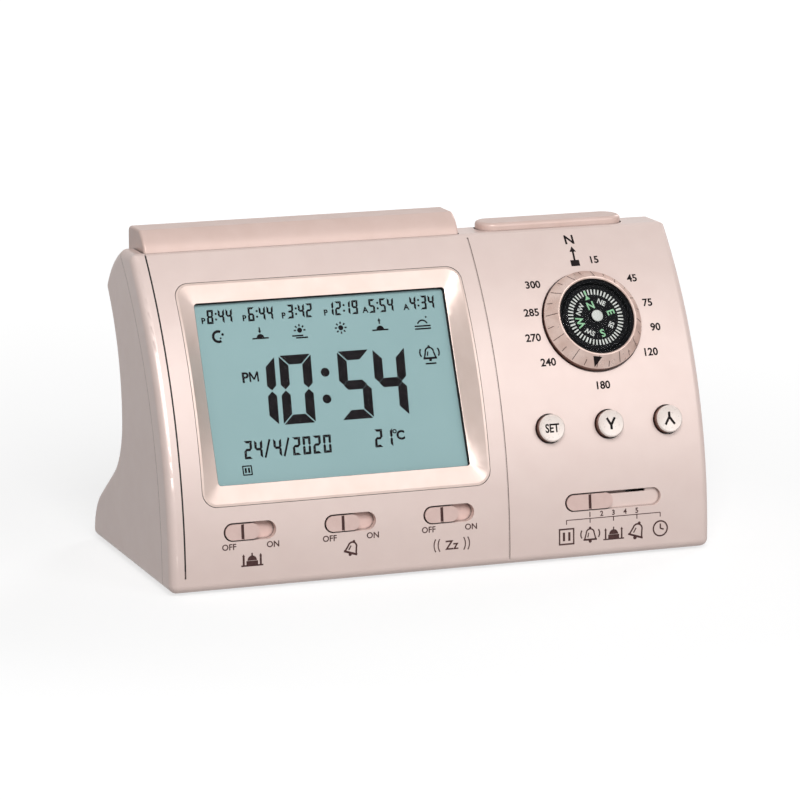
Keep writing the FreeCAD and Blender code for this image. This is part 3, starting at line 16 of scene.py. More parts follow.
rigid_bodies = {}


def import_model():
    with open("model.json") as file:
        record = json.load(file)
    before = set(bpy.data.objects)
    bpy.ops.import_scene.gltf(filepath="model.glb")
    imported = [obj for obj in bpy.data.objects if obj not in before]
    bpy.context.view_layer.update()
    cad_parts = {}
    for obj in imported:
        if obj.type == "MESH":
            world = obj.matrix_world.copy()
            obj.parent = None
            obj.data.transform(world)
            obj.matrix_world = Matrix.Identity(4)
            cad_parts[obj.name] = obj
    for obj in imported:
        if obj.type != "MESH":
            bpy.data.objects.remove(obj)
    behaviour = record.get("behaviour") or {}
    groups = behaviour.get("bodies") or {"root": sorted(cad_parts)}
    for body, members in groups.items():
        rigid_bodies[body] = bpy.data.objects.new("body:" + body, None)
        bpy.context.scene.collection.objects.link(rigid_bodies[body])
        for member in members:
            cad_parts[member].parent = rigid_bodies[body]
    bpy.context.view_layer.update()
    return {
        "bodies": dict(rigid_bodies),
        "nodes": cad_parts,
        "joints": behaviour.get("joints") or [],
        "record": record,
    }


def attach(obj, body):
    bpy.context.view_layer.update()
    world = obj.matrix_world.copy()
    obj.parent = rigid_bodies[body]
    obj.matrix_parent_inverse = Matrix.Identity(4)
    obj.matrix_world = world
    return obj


LOG = logging.getLogger("desk_clock")
MM = 0.001
CAPITAL_SHARE = 0.7  # a capital's height against the size of its lettering
PRINT_LIFT = 0.02  # how far a print lies off its surface, in millimetres
NOISE_SPAN = (0.3, 0.7)  # where most of a noise's values lie
# The span below is for the painted shade on each wall that stands on the front.
WALL_SHADE_SPAN = (0.2, 0.5)  # how much a wall and an open surface look out of the front

Colour = tuple[float, float, float, float]
Place = tuple[float, float, float]
Point = tuple[float, float]
Span = tuple[float, float]
Socket = bpy.types.NodeSocket
Verts = list[bmesh.types.BMVert]


class Body(Enum):
    """The rigid bodies that the scene's own pieces ride on."""

    CASING = "casing"
    RING = "compass_ring"
    CARD = "compass_card"
    SET_BUTTON = "set_button"
    DOWN_BUTTON = "down_button"
    UP_BUTTON = "up_button"
    AZAN_SWITCH = "azan_switch"
    ALARM_SWITCH = "alarm_switch"
    SNOOZE_SWITCH = "snooze_switch"
    MODE_SELECTOR = "mode_selector"


class Align(Enum):
    """How a line of lettering lies about its place."""

    LEFT = "LEFT"
    CENTRE = "CENTER"
    RIGHT = "RIGHT"


def tone(red: int, green: int, blue: int, alpha: float = 1.0) -> Colour:
    """Turn a display colour into scene-linear light.

    Args:
        red: Red from 0 to 255.
        green: Green from 0 to 255.
        blue: Blue from 0 to 255.
        alpha: Cover, from 0 to 1.

    Returns:
        The linear colour with its cover.
    """
    shares = [channel / 255 for channel in (red, green, blue)]
    linear = [share / 12.92 if share <= 0.04045 else ((share + 0.055) / 1.055) ** 2.4 for share in shares]
    return (linear[0], linear[1], linear[2], alpha)


# ---------------------------------------------------------------- finishes
def fill_inputs(node: bpy.types.Node, values: dict[str, object]) -> None:
    """Set a node's inputs by their names, written with underscores for spaces."""
    for name, value in values.items():
        node.inputs[name.replace("_", " ")].default_value = value


class Nodes:
    """A node tree with short ways to add and join nodes."""

    def __init__(self, tree: bpy.types.NodeTree) -> None:
        """Work on a node tree."""
        self.tree = tree

    def add(self, kind: str, operation: str = "", **values: object) -> bpy.types.Node:
        """Add a node and set its named inputs.

        Args:
            kind: The node's type name.
            operation: What a node of arithmetic works out.
            **values: Input names, with underscores for spaces, and their values.

        Returns:
            The new node.
        """
        node = self.tree.nodes.new(kind)
        if operation:
            node.operation = operation
        fill_inputs(node, values)
        return node

    def join(self, source: Socket, target: Socket) -> None:
        """Link an output to an input."""
        self.tree.links.new(source, target)

    def combine(self, operation: str, first: Socket, second: Socket) -> Socket:
        """Work out one value from two others.

        Args:
            operation: What is worked out.
            first: The first value.
            second: The second value.

        Returns:
            The result.
        """
        node = self.add("ShaderNodeMath", operation)
        self.join(first, node.inputs[0])
        self.join(second, node.inputs[1])
        return node.outputs["Value"]

    def seen_by(self, *rays: str) -> Socket:
        """One where a ray is of one of the named kinds, and zero elsewhere.

        Args:
            *rays: The kinds, as the light path names them.

        Returns:
            The one or zero.
        """
        path = self.add("ShaderNodeLightPath")
        seen = path.outputs[rays[0]]
        for ray in rays[1:]:
            seen = self.combine("MAXIMUM", seen, path.outputs[ray])
        return seen

    def ranged(self, value: Socket, span: Span, low: float = 0.0, high: float = 1.0) -> Socket:
        """Map a span of a value onto other limits, which it doesn't pass.

        Args:
            value: The value.
            span: Its two ends.
            low: What the first end becomes.
            high: What the second end becomes.

        Returns:
            The mapped value.
        """
        node = self.add("ShaderNodeMapRange", From_Min=span[0], From_Max=span[1], To_Min=low, To_Max=high)
        self.join(value, node.inputs["Value"])
        return node.outputs["Result"]

    def noise(self, size: float, detail: float = 2.0) -> Socket:
        """Cloudy noise in the piece's own coordinates.

        Args:
            size: The size of a cloud in millimetres.
            detail: How many finer layers it has.

        Returns:
            The noise's value.
        """
        place = self.add("ShaderNodeTexCoord")
        noise = self.add("ShaderNodeTexNoise", Scale=1 / (size * MM), Detail=detail)
        self.join(place.outputs["Object"], noise.inputs["Vector"])
        return noise.outputs["Fac"]

    def ramp(self, share: Socket, first: Colour, second: Colour) -> Socket:
        """Go from one plain colour to another with a share.

        Args:
            share: From 0 to 1.
            first: The colour at 0.
            second: The colour at 1.

        Returns:
            The colour.
        """
        ramp = self.add("ShaderNodeValToRGB")
        for element, colour in zip(ramp.color_ramp.elements, (first, second)):
            element.color = colour
        self.join(share, ramp.inputs["Fac"])
        return ramp.outputs["Color"]

    def mix(self, share: Socket, first: Colour, second: Socket) -> Socket:
        """Go from a plain colour to a worked-out one with a share.

        Args:
            share: From 0 to 1.
            first: The colour at 0.
            second: The colour at 1.

        Returns:
            The colour.
        """
        mixed = self.add("ShaderNodeMix")
        mixed.data_type = "RGBA"
        factor, colour_a, colour_b = mixed.inputs[0], mixed.inputs[6], mixed.inputs[7]
        self.join(share, factor)
        colour_a.default_value = first
        self.join(second, colour_b)
        return mixed.outputs[2]

    def shade_hollows(self, colour: Socket, dark: Colour, reach: float, span: Span) -> Socket:
        """Paint shade into a colour where surfaces lie close together: painted shade in joints and recesses.

        Args:
            colour: The colour of the open surface.
            dark: The painted shade deep in a joint.
            reach: How near the other surface has to be, in millimetres.
            span: The open share of the surroundings at the full dark and at the full colour.

        Returns:
            The colour with painted shade in its joints.
        """
        # Ambient occlusion finds the joints and recesses where the shade is painted.
        near = self.add("ShaderNodeAmbientOcclusion", Distance=reach * MM)
        near.samples = 8
        return self.mix(self.ranged(near.outputs["AO"], span), dark, colour)

    def shade_walls(self, colour: Socket, wall: Colour, rise: float) -> Socket:
        """Paint shade onto each wall that stands on the front, by how little it faces out of the front.

        Args:
            colour: The colour of what faces out of the front.
            wall: The painted shade of each wall.
            rise: How far up the front the piece stands, in millimetres.

        Returns:
            The colour of the whole piece.
        """
        # The mix by facing is painted shade on each wall.
        turn = rise / ARCH.radius
        across = self.add("ShaderNodeVectorMath", "DOT_PRODUCT")
        self.join(self.add("ShaderNodeNewGeometry").outputs["Normal"], across.inputs[0])
        across.inputs[1].default_value = (0, -math.cos(turn), math.sin(turn))
        return self.mix(self.ranged(across.outputs["Value"], WALL_SHADE_SPAN), wall, colour)


class Paint(Nodes):
    """A new material's nodes, around its surface shader."""

    def __init__(self, name: str) -> None:
        """Make the material with its surface shader alone.

        Args:
            name: The material's name.
        """
        self.material = bpy.data.materials.new(name)
        self.material.use_nodes = True
        super().__init__(self.material.node_tree)
        self.shader = self.tree.nodes["Principled BSDF"]

    def plain(self, **values: object) -> None:
        """Set inputs of the shader by their names, written with underscores for spaces."""
        fill_inputs(self.shader, values)

    def drive(self, name: str, value: Socket) -> None:
        """Let a value drive one of the shader's inputs."""
        self.join(value, self.shader.inputs[name])

    def relief(self, value: Socket, height: float) -> None:
        """Raise the surface by a value, to a height in millimetres.

        Args:
            value: The value, from 0 to 1.
            height: The height at 1.
        """
        bump = self.add("ShaderNodeBump", Strength=1.0, Distance=height * MM)
        self.join(value, bump.inputs["Height"])
        self.drive("Normal", bump.outputs["Normal"])


@dataclass(frozen=True)
class Surface:
    """What every finish has: its name, the slot of its pieces, and one material for all of them."""

    name: str
    slot: str

    def material(self) -> bpy.types.Material:
        """Build the finish, or find it if it is built.

        Returns:
            The material.
        """
        title = "finish_" + self.name
        known = bpy.data.materials.get(title)
        if known:
            return known
        paint = Paint(title)
        self.apply(paint)
        return paint.material

    def apply(self, paint: Paint) -> None:
        """Add the finish's nodes to a new material."""
        raise NotImplementedError


@dataclass(frozen=True)
class Finish(Surface):
    """A solid finish: two close shades in clouds, uneven gloss and a fine surface texture.

    Sizes are in millimetres.
    """

    light: Colour
    dark: Colour
    cloud: float = 6.0
    gloss: Span = (0.42, 0.5)
    metallic: float = 0.0
    shine: float = 0.5
    grain: float = 0.35
    grain_height: float = 0.004
    # Reach and span of the shade painted into joints and recesses.
    shade_reach: float = 0.0
    shade_span: Span = (0.12, 0.6)
    # How far up the front the piece stands, for the painted shade on each wall; zero for none.
    shade_wall_rise: float = 0.0

    def apply(self, paint: Paint) -> None:
        """Add the clouds, the painted shade on each wall and in the joints, the gloss and the texture.

        Args:
            paint: The new material.
        """
        clouds = paint.ranged(paint.noise(self.cloud, detail=3.0), NOISE_SPAN)
        colour = paint.ramp(clouds, self.dark, self.light)
        # Painted shade on each wall that stands on the front.
        if self.shade_wall_rise:
            colour = paint.shade_walls(colour, SHADED_WALL_COLOUR, self.shade_wall_rise)
        # Painted shade in the joints and recesses.
        if self.shade_reach:
            colour = paint.shade_hollows(colour, JOINT_SHADE, self.shade_reach, self.shade_span)
        paint.drive("Base Color", colour)
        paint.drive("Roughness", paint.ranged(paint.noise(self.cloud / 3), NOISE_SPAN, *self.gloss))
        paint.relief(paint.noise(self.grain), self.grain_height)
        paint.plain(Metallic=self.metallic, Specular_IOR_Level=self.shine)
        paint.material.diffuse_color = self.light


@dataclass(frozen=True)
class ClearFinish(Surface):
    """A clear cover that shows what lies behind it and keeps a thin gloss."""

    cover: float
    roughness: float = 0.04
    gloss: float = 0.25
    smear: float = 9.0
    tint: Colour = tone(70, 74, 76)

    def apply(self, paint: Paint) -> None:
        """Add the faint smears and let what lies behind show through.

        Args:
            paint: The new material.
        """
        smears = paint.ranged(paint.noise(self.smear), NOISE_SPAN, self.roughness, self.roughness * 2)
        paint.drive("Roughness", smears)
        paint.plain(Base_Color=self.tint, Alpha=self.cover, Specular_IOR_Level=self.gloss)


@dataclass(frozen=True)
class CellFinish(Surface):
    """The printed wrap of a round cell, with a paler band at one end. Sizes are in millimetres."""

    wrap: Colour
    band: Colour
    split: float
    cloud: float = 4.0
    gloss: Span = (0.25, 0.4)
    grain: float = 0.8
    grain_height: float = 0.004

    def apply(self, paint: Paint) -> None:
        """Add the two colours, which meet at the split, the gloss and the texture.

        Args:
            paint: The new material.
        """
        parts = paint.add("ShaderNodeSeparateXYZ")
        paint.join(paint.add("ShaderNodeTexCoord").outputs["Object"], parts.inputs["Vector"])
        past = paint.add("ShaderNodeMath", "GREATER_THAN")
        paint.join(parts.outputs["X"], past.inputs[0])
        past.inputs[1].default_value = self.split * MM
        paint.drive("Base Color", paint.ramp(past.outputs["Value"], self.wrap, self.band))
        paint.drive("Roughness", paint.ranged(paint.noise(self.cloud), NOISE_SPAN, *self.gloss))
        paint.relief(paint.noise(self.grain), self.grain_height)


# Painted shade in joints and recesses.
JOINT_SHADE = tone(58, 34, 32)
# Painted shade on a wall that stands on the front.
SHADED_WALL_COLOUR = tone(122, 84, 72)
CASING = Finish(
    "casing", "casing_plastic", tone(228, 208, 201), tone(225, 204, 197), cloud=9.0, gloss=(0.34, 0.4),
    metallic=0.2, shine=0.5, grain=0.22, grain_height=0.003, shade_reach=1.1, shade_span=(0.25, 0.75),
)
BEZEL = Finish(
    "bezel", "bezel_plastic", tone(218, 197, 188), tone(212, 190, 180), cloud=8.0, gloss=(0.3, 0.36),
    metallic=0.35, shine=0.6, grain=0.3, grain_height=0.002, shade_reach=0.9, shade_span=(0.2, 0.7),
)
BAR = Finish(
    "bar", "bar_plastic", tone(226, 200, 191), tone(221, 194, 184), cloud=9.0, gloss=(0.32, 0.38),
    metallic=0.12, shine=0.15, grain=0.22, grain_height=0.003, shade_reach=0.9,
)
RING = Finish(
    "ring", "ring_plastic", tone(232, 208, 198), tone(206, 176, 164), cloud=6.0, gloss=(0.26, 0.34),
    metallic=0.45, grain=0.5, grain_height=0.002, shade_reach=1.2, shade_span=(0.3, 0.8), shade_wall_rise=69.4,
)
BUTTON = Finish(
    "button", "ring_plastic", tone(244, 232, 225), tone(238, 224, 216), cloud=2.0, gloss=(0.26, 0.34),
    metallic=0.1, grain=0.5, grain_height=0.001, shade_reach=0.8, shade_span=(0.3, 0.8), shade_wall_rise=37.8,
)
KNOB = Finish(
    "knob", "casing_plastic", tone(229, 200, 192), tone(222, 192, 184), cloud=3.0, gloss=(0.36, 0.42),
    grain=0.22, grain_height=0.003, shade_reach=1.0, shade_span=(0.3, 0.8),
)
BLACK = Finish("black", "black_plastic", tone(36, 36, 37), tone(24, 24, 25), gloss=(0.35, 0.5))
WHITE = Finish("white", "white_plastic", tone(232, 232, 228), tone(222, 222, 217), gloss=(0.4, 0.5))
BOARD = Finish("board", "circuit_board", tone(36, 110, 58), tone(24, 84, 42), cloud=1.6, gloss=(0.25, 0.4))
METAL = Finish(
    "metal", "plated_metal", tone(205, 205, 207), tone(180, 180, 184), gloss=(0.18, 0.3), metallic=1.0,
)
BRASS = Finish("brass", "brass_pin", tone(226, 203, 150), tone(205, 178, 120), gloss=(0.2, 0.3), metallic=1.0)
MAGNET = Finish("magnet", "magnet", tone(58, 58, 60), tone(44, 44, 46), cloud=1.0, gloss=(0.5, 0.65))
PAPER = Finish(
    "paper", "speaker_paper", tone(44, 43, 45), tone(30, 30, 32), cloud=0.8, gloss=(0.75, 0.9),
    grain_height=0.03,
)
GREY_RUBBER = Finish(
    "grey_rubber", "grey_rubber", tone(122, 120, 118), tone(106, 104, 102), gloss=(0.7, 0.85),
)
BLACK_RUBBER = Finish("black_rubber", "black_rubber", tone(30, 30, 32), tone(20, 20, 22), gloss=(0.6, 0.8))
GUIDE = Finish("guide", "light_guide", tone(236, 240, 240), tone(226, 231, 231), gloss=(0.2, 0.3))
GLASS = Finish(
    "display_glass", "display_glass", tone(164, 197, 199), tone(160, 193, 195), cloud=26.0, gloss=(0.5, 0.6),
    shine=0.05, grain=2.0, grain_height=0.001,
)
CARD = Finish(
    "card", "compass_card", tone(18, 18, 20), tone(12, 12, 14), cloud=2.0, gloss=(0.5, 0.6), shine=0.05,
    grain_height=0.0005,
)
CUP = Finish(
    "cup", "black_plastic", tone(20, 20, 22), tone(14, 14, 16), gloss=(0.5, 0.6), shine=0.05,
    grain_height=0.001,
)
INK = Finish(
    "ink", "black_plastic", tone(30, 22, 23), tone(20, 14, 15), cloud=1.5, gloss=(0.5, 0.6), shine=0.1,
    grain=0.1,
)
SOFT_INK = Finish(
    "soft_ink", "black_plastic", tone(92, 66, 64), tone(74, 52, 51), cloud=1.0, gloss=(0.5, 0.6), shine=0.1,
    grain=0.1,
)
SEGMENT = Finish(
    "segment", "black_plastic", tone(30, 24, 27), tone(17, 14, 17), cloud=3.0, gloss=(0.5, 0.6), shine=0.05,
    grain=0.5,
)
PALE_INK = Finish(
    "pale_ink", "compass_card", tone(238, 240, 236), tone(214, 220, 212), cloud=0.8, gloss=(0.5, 0.6),
)
GREEN_INK = Finish(
    "green_ink", "compass_card", tone(178, 226, 186), tone(132, 204, 148), cloud=0.8, gloss=(0.5, 0.6),
)
# Painted shade: the near-black of strips and frames that stand in for shade in the groove and around the
# display glass.
SHADE = Finish("shade", "black_rubber", tone(16, 14, 15), tone(10, 9, 10), gloss=(0.6, 0.7))
WINDOW = ClearFinish("window", "clear_window", cover=0.02, gloss=0.4)
DOME = ClearFinish("dome", "clear_window", cover=0.03, roughness=0.03, gloss=0.6)
CELL = CellFinish("cell", "cell_wrap", wrap=tone(46, 50, 56), band=tone(186, 158, 96), split=14.0)

NODE_FINISHES: dict[str, Surface] = {
    "front_shell": CASING, "rear_shell": CASING, "battery_door": CASING, "display_bezel": BEZEL,
    "snooze_bar": BAR, "light_key": BAR, "display_window": WINDOW, "lcd_glass": GLASS, "light_guide": GUIDE,
    "lcd_holder": WHITE, "contact_strips": BLACK_RUBBER, "backlight_led": WHITE, "display_board": BOARD,
    "switch_board": BOARD, "key_board": BOARD, "top_board": BOARD, "clock_chip": BLACK,
    "clock_crystal": METAL, "board_capacitors": BLACK, "temperature_sensor": BLACK, "slide_switches": METAL,
    "mode_switch": METAL, "azan_switch_knob": KNOB, "alarm_switch_knob": KNOB,
    "snooze_switch_knob": KNOB, "mode_selector_knob": KNOB, "azan_switch_lever": BLACK,
    "alarm_switch_lever": BLACK, "snooze_switch_lever": BLACK, "mode_selector_lever": BLACK,
    "key_switches": BLACK, "top_switches": BLACK, "set_button": BUTTON, "down_button": BUTTON,
    "up_button": BUTTON, "compass_ring": RING, "ring_retainer": WHITE, "compass_cup": CUP,
    "compass_pivot": BRASS, "compass_card": CARD, "compass_magnet": MAGNET, "compass_dome": DOME,
    "compass_carrier": WHITE, "speaker_basket": METAL, "speaker_cone": PAPER, "battery_front": CELL,
    "battery_rear": CELL, "contact_springs": METAL, "contact_plates": METAL, "case_screws": METAL,
    "board_screws": METAL, "rubber_feet": GREY_RUBBER,
}


# ---------------------------------------------------------------- places
@dataclass(frozen=True)
class Arch:
    """The arched front, in millimetres, and the places on it."""

    radius: float = 133.5
    level: float = 1.8
    foot: float = 0.8
    width: float = 170.0
    depth: float = 78.5

    def point(self, place: float, rise: float, lift: float = 0.0) -> Vector:
        """A point on the front.

        Args:
            place: Distance from the left end.
            rise: Distance up along the arch.
            lift: Distance out of the surface.

        Returns:
            The point in metres.
        """
        turn = rise / self.radius
        out = self.radius + lift
        return Vector((
            place - self.width / 2,
            self.radius - self.depth / 2 - out * math.cos(turn),
            self.foot + self.level + out * math.sin(turn),
        )) * MM

    def frame(self, place: float, rise: float) -> Matrix:
        """The tangent frame of a place: X along the width, Y up the face, Z out of it.

        Args:
            place: Distance from the left end.
            rise: Distance up along the arch.

        Returns:
            The frame in metres.
        """
        turn = rise / self.radius
        upright = Matrix.Rotation(math.pi / 2 - turn, 4, "X")
        return Matrix.Translation(self.point(place, rise)) @ upright


ARCH = Arch()
Mapping = Callable[[Vector], Vector]


def on_arch(place: float, rise: float, lift: float = PRINT_LIFT) -> Mapping:
    """Lay millimetre drawings on the arched front about a place."""
    return lambda point: ARCH.point(place + point.x, rise + point.y, lift + point.z)


def on_plane(frame: Matrix, lift: float) -> Mapping:
    """Lay millimetre drawings on a plane of a frame, at a height."""
    return lambda point: frame @ (Vector((point.x, point.y, point.z + lift)) * MM)


# ---------------------------------------------------------------- drawing
class Drawing:
    """Thin printed shapes in millimetres, gathered in one mesh."""

    def __init__(self, thickness: float = 0.03) -> None:
        """Start an empty drawing of a thickness in millimetres."""
        self.mesh = bmesh.new()
        self.thickness = thickness

    def added(self, before: set[bmesh.types.BMVert]) -> Verts:
        """The vertices that aren't in a set of earlier ones."""
        return [vert for vert in self.mesh.verts if vert not in before]

    def bar(self, start: Point, end: Point, width: float, step: float = 3.0) -> Verts:
        """A straight stroke with square ends.

        Args:
            start: Where it starts.
            end: Where it ends.
            width: Its width.
            step: The longest cell along it.

        Returns:
            The stroke's vertices.
        """
        first, last = Vector((*start, 0)), Vector((*end, 0))
        length = (last - first).length
        turn = math.atan2(last.y - first.y, last.x - first.x)
        shape = Matrix.Translation((first + last) / 2) @ Matrix.Rotation(turn, 4, "Z")
        shape = shape @ Matrix.Diagonal((length, width, 1, 1))
        cells = max(1, math.ceil(length / step))
        made = bmesh.ops.create_grid(self.mesh, x_segments=cells, y_segments=1, size=0.5, matrix=shape)
        return made["verts"]

    def disc(self, x: float, y: float, radius: float, sides: int = 24, turn: float = 0.0) -> Verts:
        """A filled circle, or a regular shape with few sides.

        Args:
            x: Its middle across.
            y: Its middle height.
            radius: How far its corners lie from the middle.
            sides: How many sides it has.
            turn: How far it is turned, in radians.

        Returns:
            The shape's vertices.
        """
        shape = Matrix.Translation((x, y, 0)) @ Matrix.Rotation(turn, 4, "Z")
        made = bmesh.ops.create_circle(self.mesh, cap_ends=True, segments=sides, radius=radius, matrix=shape)
        return made["verts"]

    def arc(self, x: float, y: float, radius: float, width: float, start: float, end: float) -> None:
        """A curved stroke about a centre, between two angles in degrees.

        Args:
            x: The centre across.
            y: The centre's height.
            radius: The radius of its middle line.
            width: Its width.
            start: Where it starts.
            end: Where it ends.
        """
        centre, turn = Vector((x, y, 0)), Matrix.Rotation(math.radians(start), 3, "Z")
        sides = (radius - width / 2, radius + width / 2)
        ends = [self.mesh.verts.new(centre + turn @ Vector((side, 0, 0))) for side in sides]
        edge = self.mesh.edges.new(ends)
        sweep = abs(end - start)
        bmesh.ops.spin(
            self.mesh, geom=[*ends, edge], cent=(x, y, 0), axis=(0, 0, 1), angle=math.radians(end - start),
            steps=max(4, int(sweep / 10)), use_merge=sweep >= 360, use_duplicate=False,
        )

    def half_disc(self, x: float, y: float, radius: float) -> None:
        """The upper half of a disc.

        Args:
            x: The disc's middle across.
            y: Its middle height.
            radius: Its radius.
        """
        verts = self.disc(x, y, radius, 32)
        faces = {face for vert in verts for face in vert.link_faces}
        edges = {edge for vert in verts for edge in vert.link_edges}
        bmesh.ops.bisect_plane(
            self.mesh, geom=[*verts, *edges, *faces], plane_co=(x, y, 0), plane_no=(0, -1, 0),
            clear_outer=True,
        )

    def text(self, words: str, x: float, y: float, height: float, align: Align = Align.CENTRE,
             weight: float = 0.0, stretch: float = 1.0) -> Verts:
        """A line of lettering.

        Args:
            words: The letters.
            x: Its place along the line.
            y: Its middle height.
            height: The height of a capital.
            align: Which end of the line the place is.
            weight: How much bolder than plain, as a share of the height.
            stretch: Its width against plain.

        Returns:
            The lettering's vertices.
        """
        before = set(self.mesh.verts)
        curve = bpy.data.curves.new("lettering", "FONT")
        curve.body = words
        curve.size = height / CAPITAL_SHARE
        curve.align_x = align.value
        curve.offset = weight * height
        curve.resolution_u = 3
        holder = bpy.data.objects.new("lettering", curve)
        bpy.context.scene.collection.objects.link(holder)
        bpy.context.view_layer.update()
        flat = bpy.data.meshes.new_from_object(holder.evaluated_get(bpy.context.evaluated_depsgraph_get()))
        flat.transform(Matrix.Translation((x, y - height / 2, 0)) @ Matrix.Diagonal((stretch, 1, 1, 1)))
        self.mesh.from_mesh(flat)
        bpy.data.objects.remove(holder)
        bpy.data.curves.remove(curve)
        bpy.data.meshes.remove(flat)
        return self.added(before)

    def turn(self, degrees: float, verts: Verts) -> None:
        """Turn some vertices about the drawing's middle."""
        turning = Matrix.Rotation(math.radians(degrees), 3, "Z")
        bmesh.ops.rotate(self.mesh, verts=verts, cent=(0, 0, 0), matrix=turning)

    def lay(self, name: str, mapping: Mapping, body: Body, finish: Finish) -> bpy.types.Object:
        """Give the drawing its thickness, lay it on a surface and hand it to a body.

        Args:
            name: The piece's name.
            mapping: Where each point of the drawing goes.
            body: The body that carries it.
            finish: Its finish.

        Returns:
            The finished piece.
        """
        bmesh.ops.remove_doubles(self.mesh, verts=self.mesh.verts[:], dist=1e-4)
        bmesh.ops.recalc_face_normals(self.mesh, faces=self.mesh.faces[:])
        flipped = [face for face in self.mesh.faces if face.normal.z < 0]
        bmesh.ops.reverse_faces(self.mesh, faces=flipped)
        bmesh.ops.solidify(self.mesh, geom=self.mesh.faces[:], thickness=self.thickness)
        lowest = min(vert.co.z for vert in self.mesh.verts)
        for vert in self.mesh.verts:
            vert.co = mapping(Vector((vert.co.x, vert.co.y, vert.co.z - lowest)))
        return hand_over(self.mesh, name, body, finish)



def hand_over(mesh: bmesh.types.BMesh, name: str, body: Body, finish: Surface,
              smooth: float = 30.0) -> bpy.types.Object:
    """Make a piece of a finished bmesh and hand it to a body.

    Args:
        mesh: The shape, in metres and in its place.
        name: The piece's name.
        body: The body that carries it.
        finish: Its finish.
        smooth: The sharpest angle in degrees that is shaded smooth.

    Returns:
        The piece.
    """
    limit = math.radians(smooth)
    for face in mesh.faces:
        face.smooth = True
    for edge in mesh.edges:
        edge.smooth = edge.calc_face_angle(math.pi) < limit
    data = bpy.data.meshes.new(name)
    mesh.to_mesh(data)
    mesh.free()
    data.materials.append(finish.material())
    piece = bpy.data.objects.new(name, data)
    bpy.context.scene.collection.objects.link(piece)
    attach(piece, body.value)
    LOG.info("%s rides on %s, %d faces", name, body.value, len(data.polygons))
    return piece


# ---------------------------------------------------------------- display segments
SEGMENTS = {
    "0": "abcdef", "1": "bc", "2": "abged", "3": "abgcd", "4": "fgbc", "5": "afgcd", "6": "afgedc",
    "7": "abc", "8": "abcdefg", "9": "abfgcd",
}


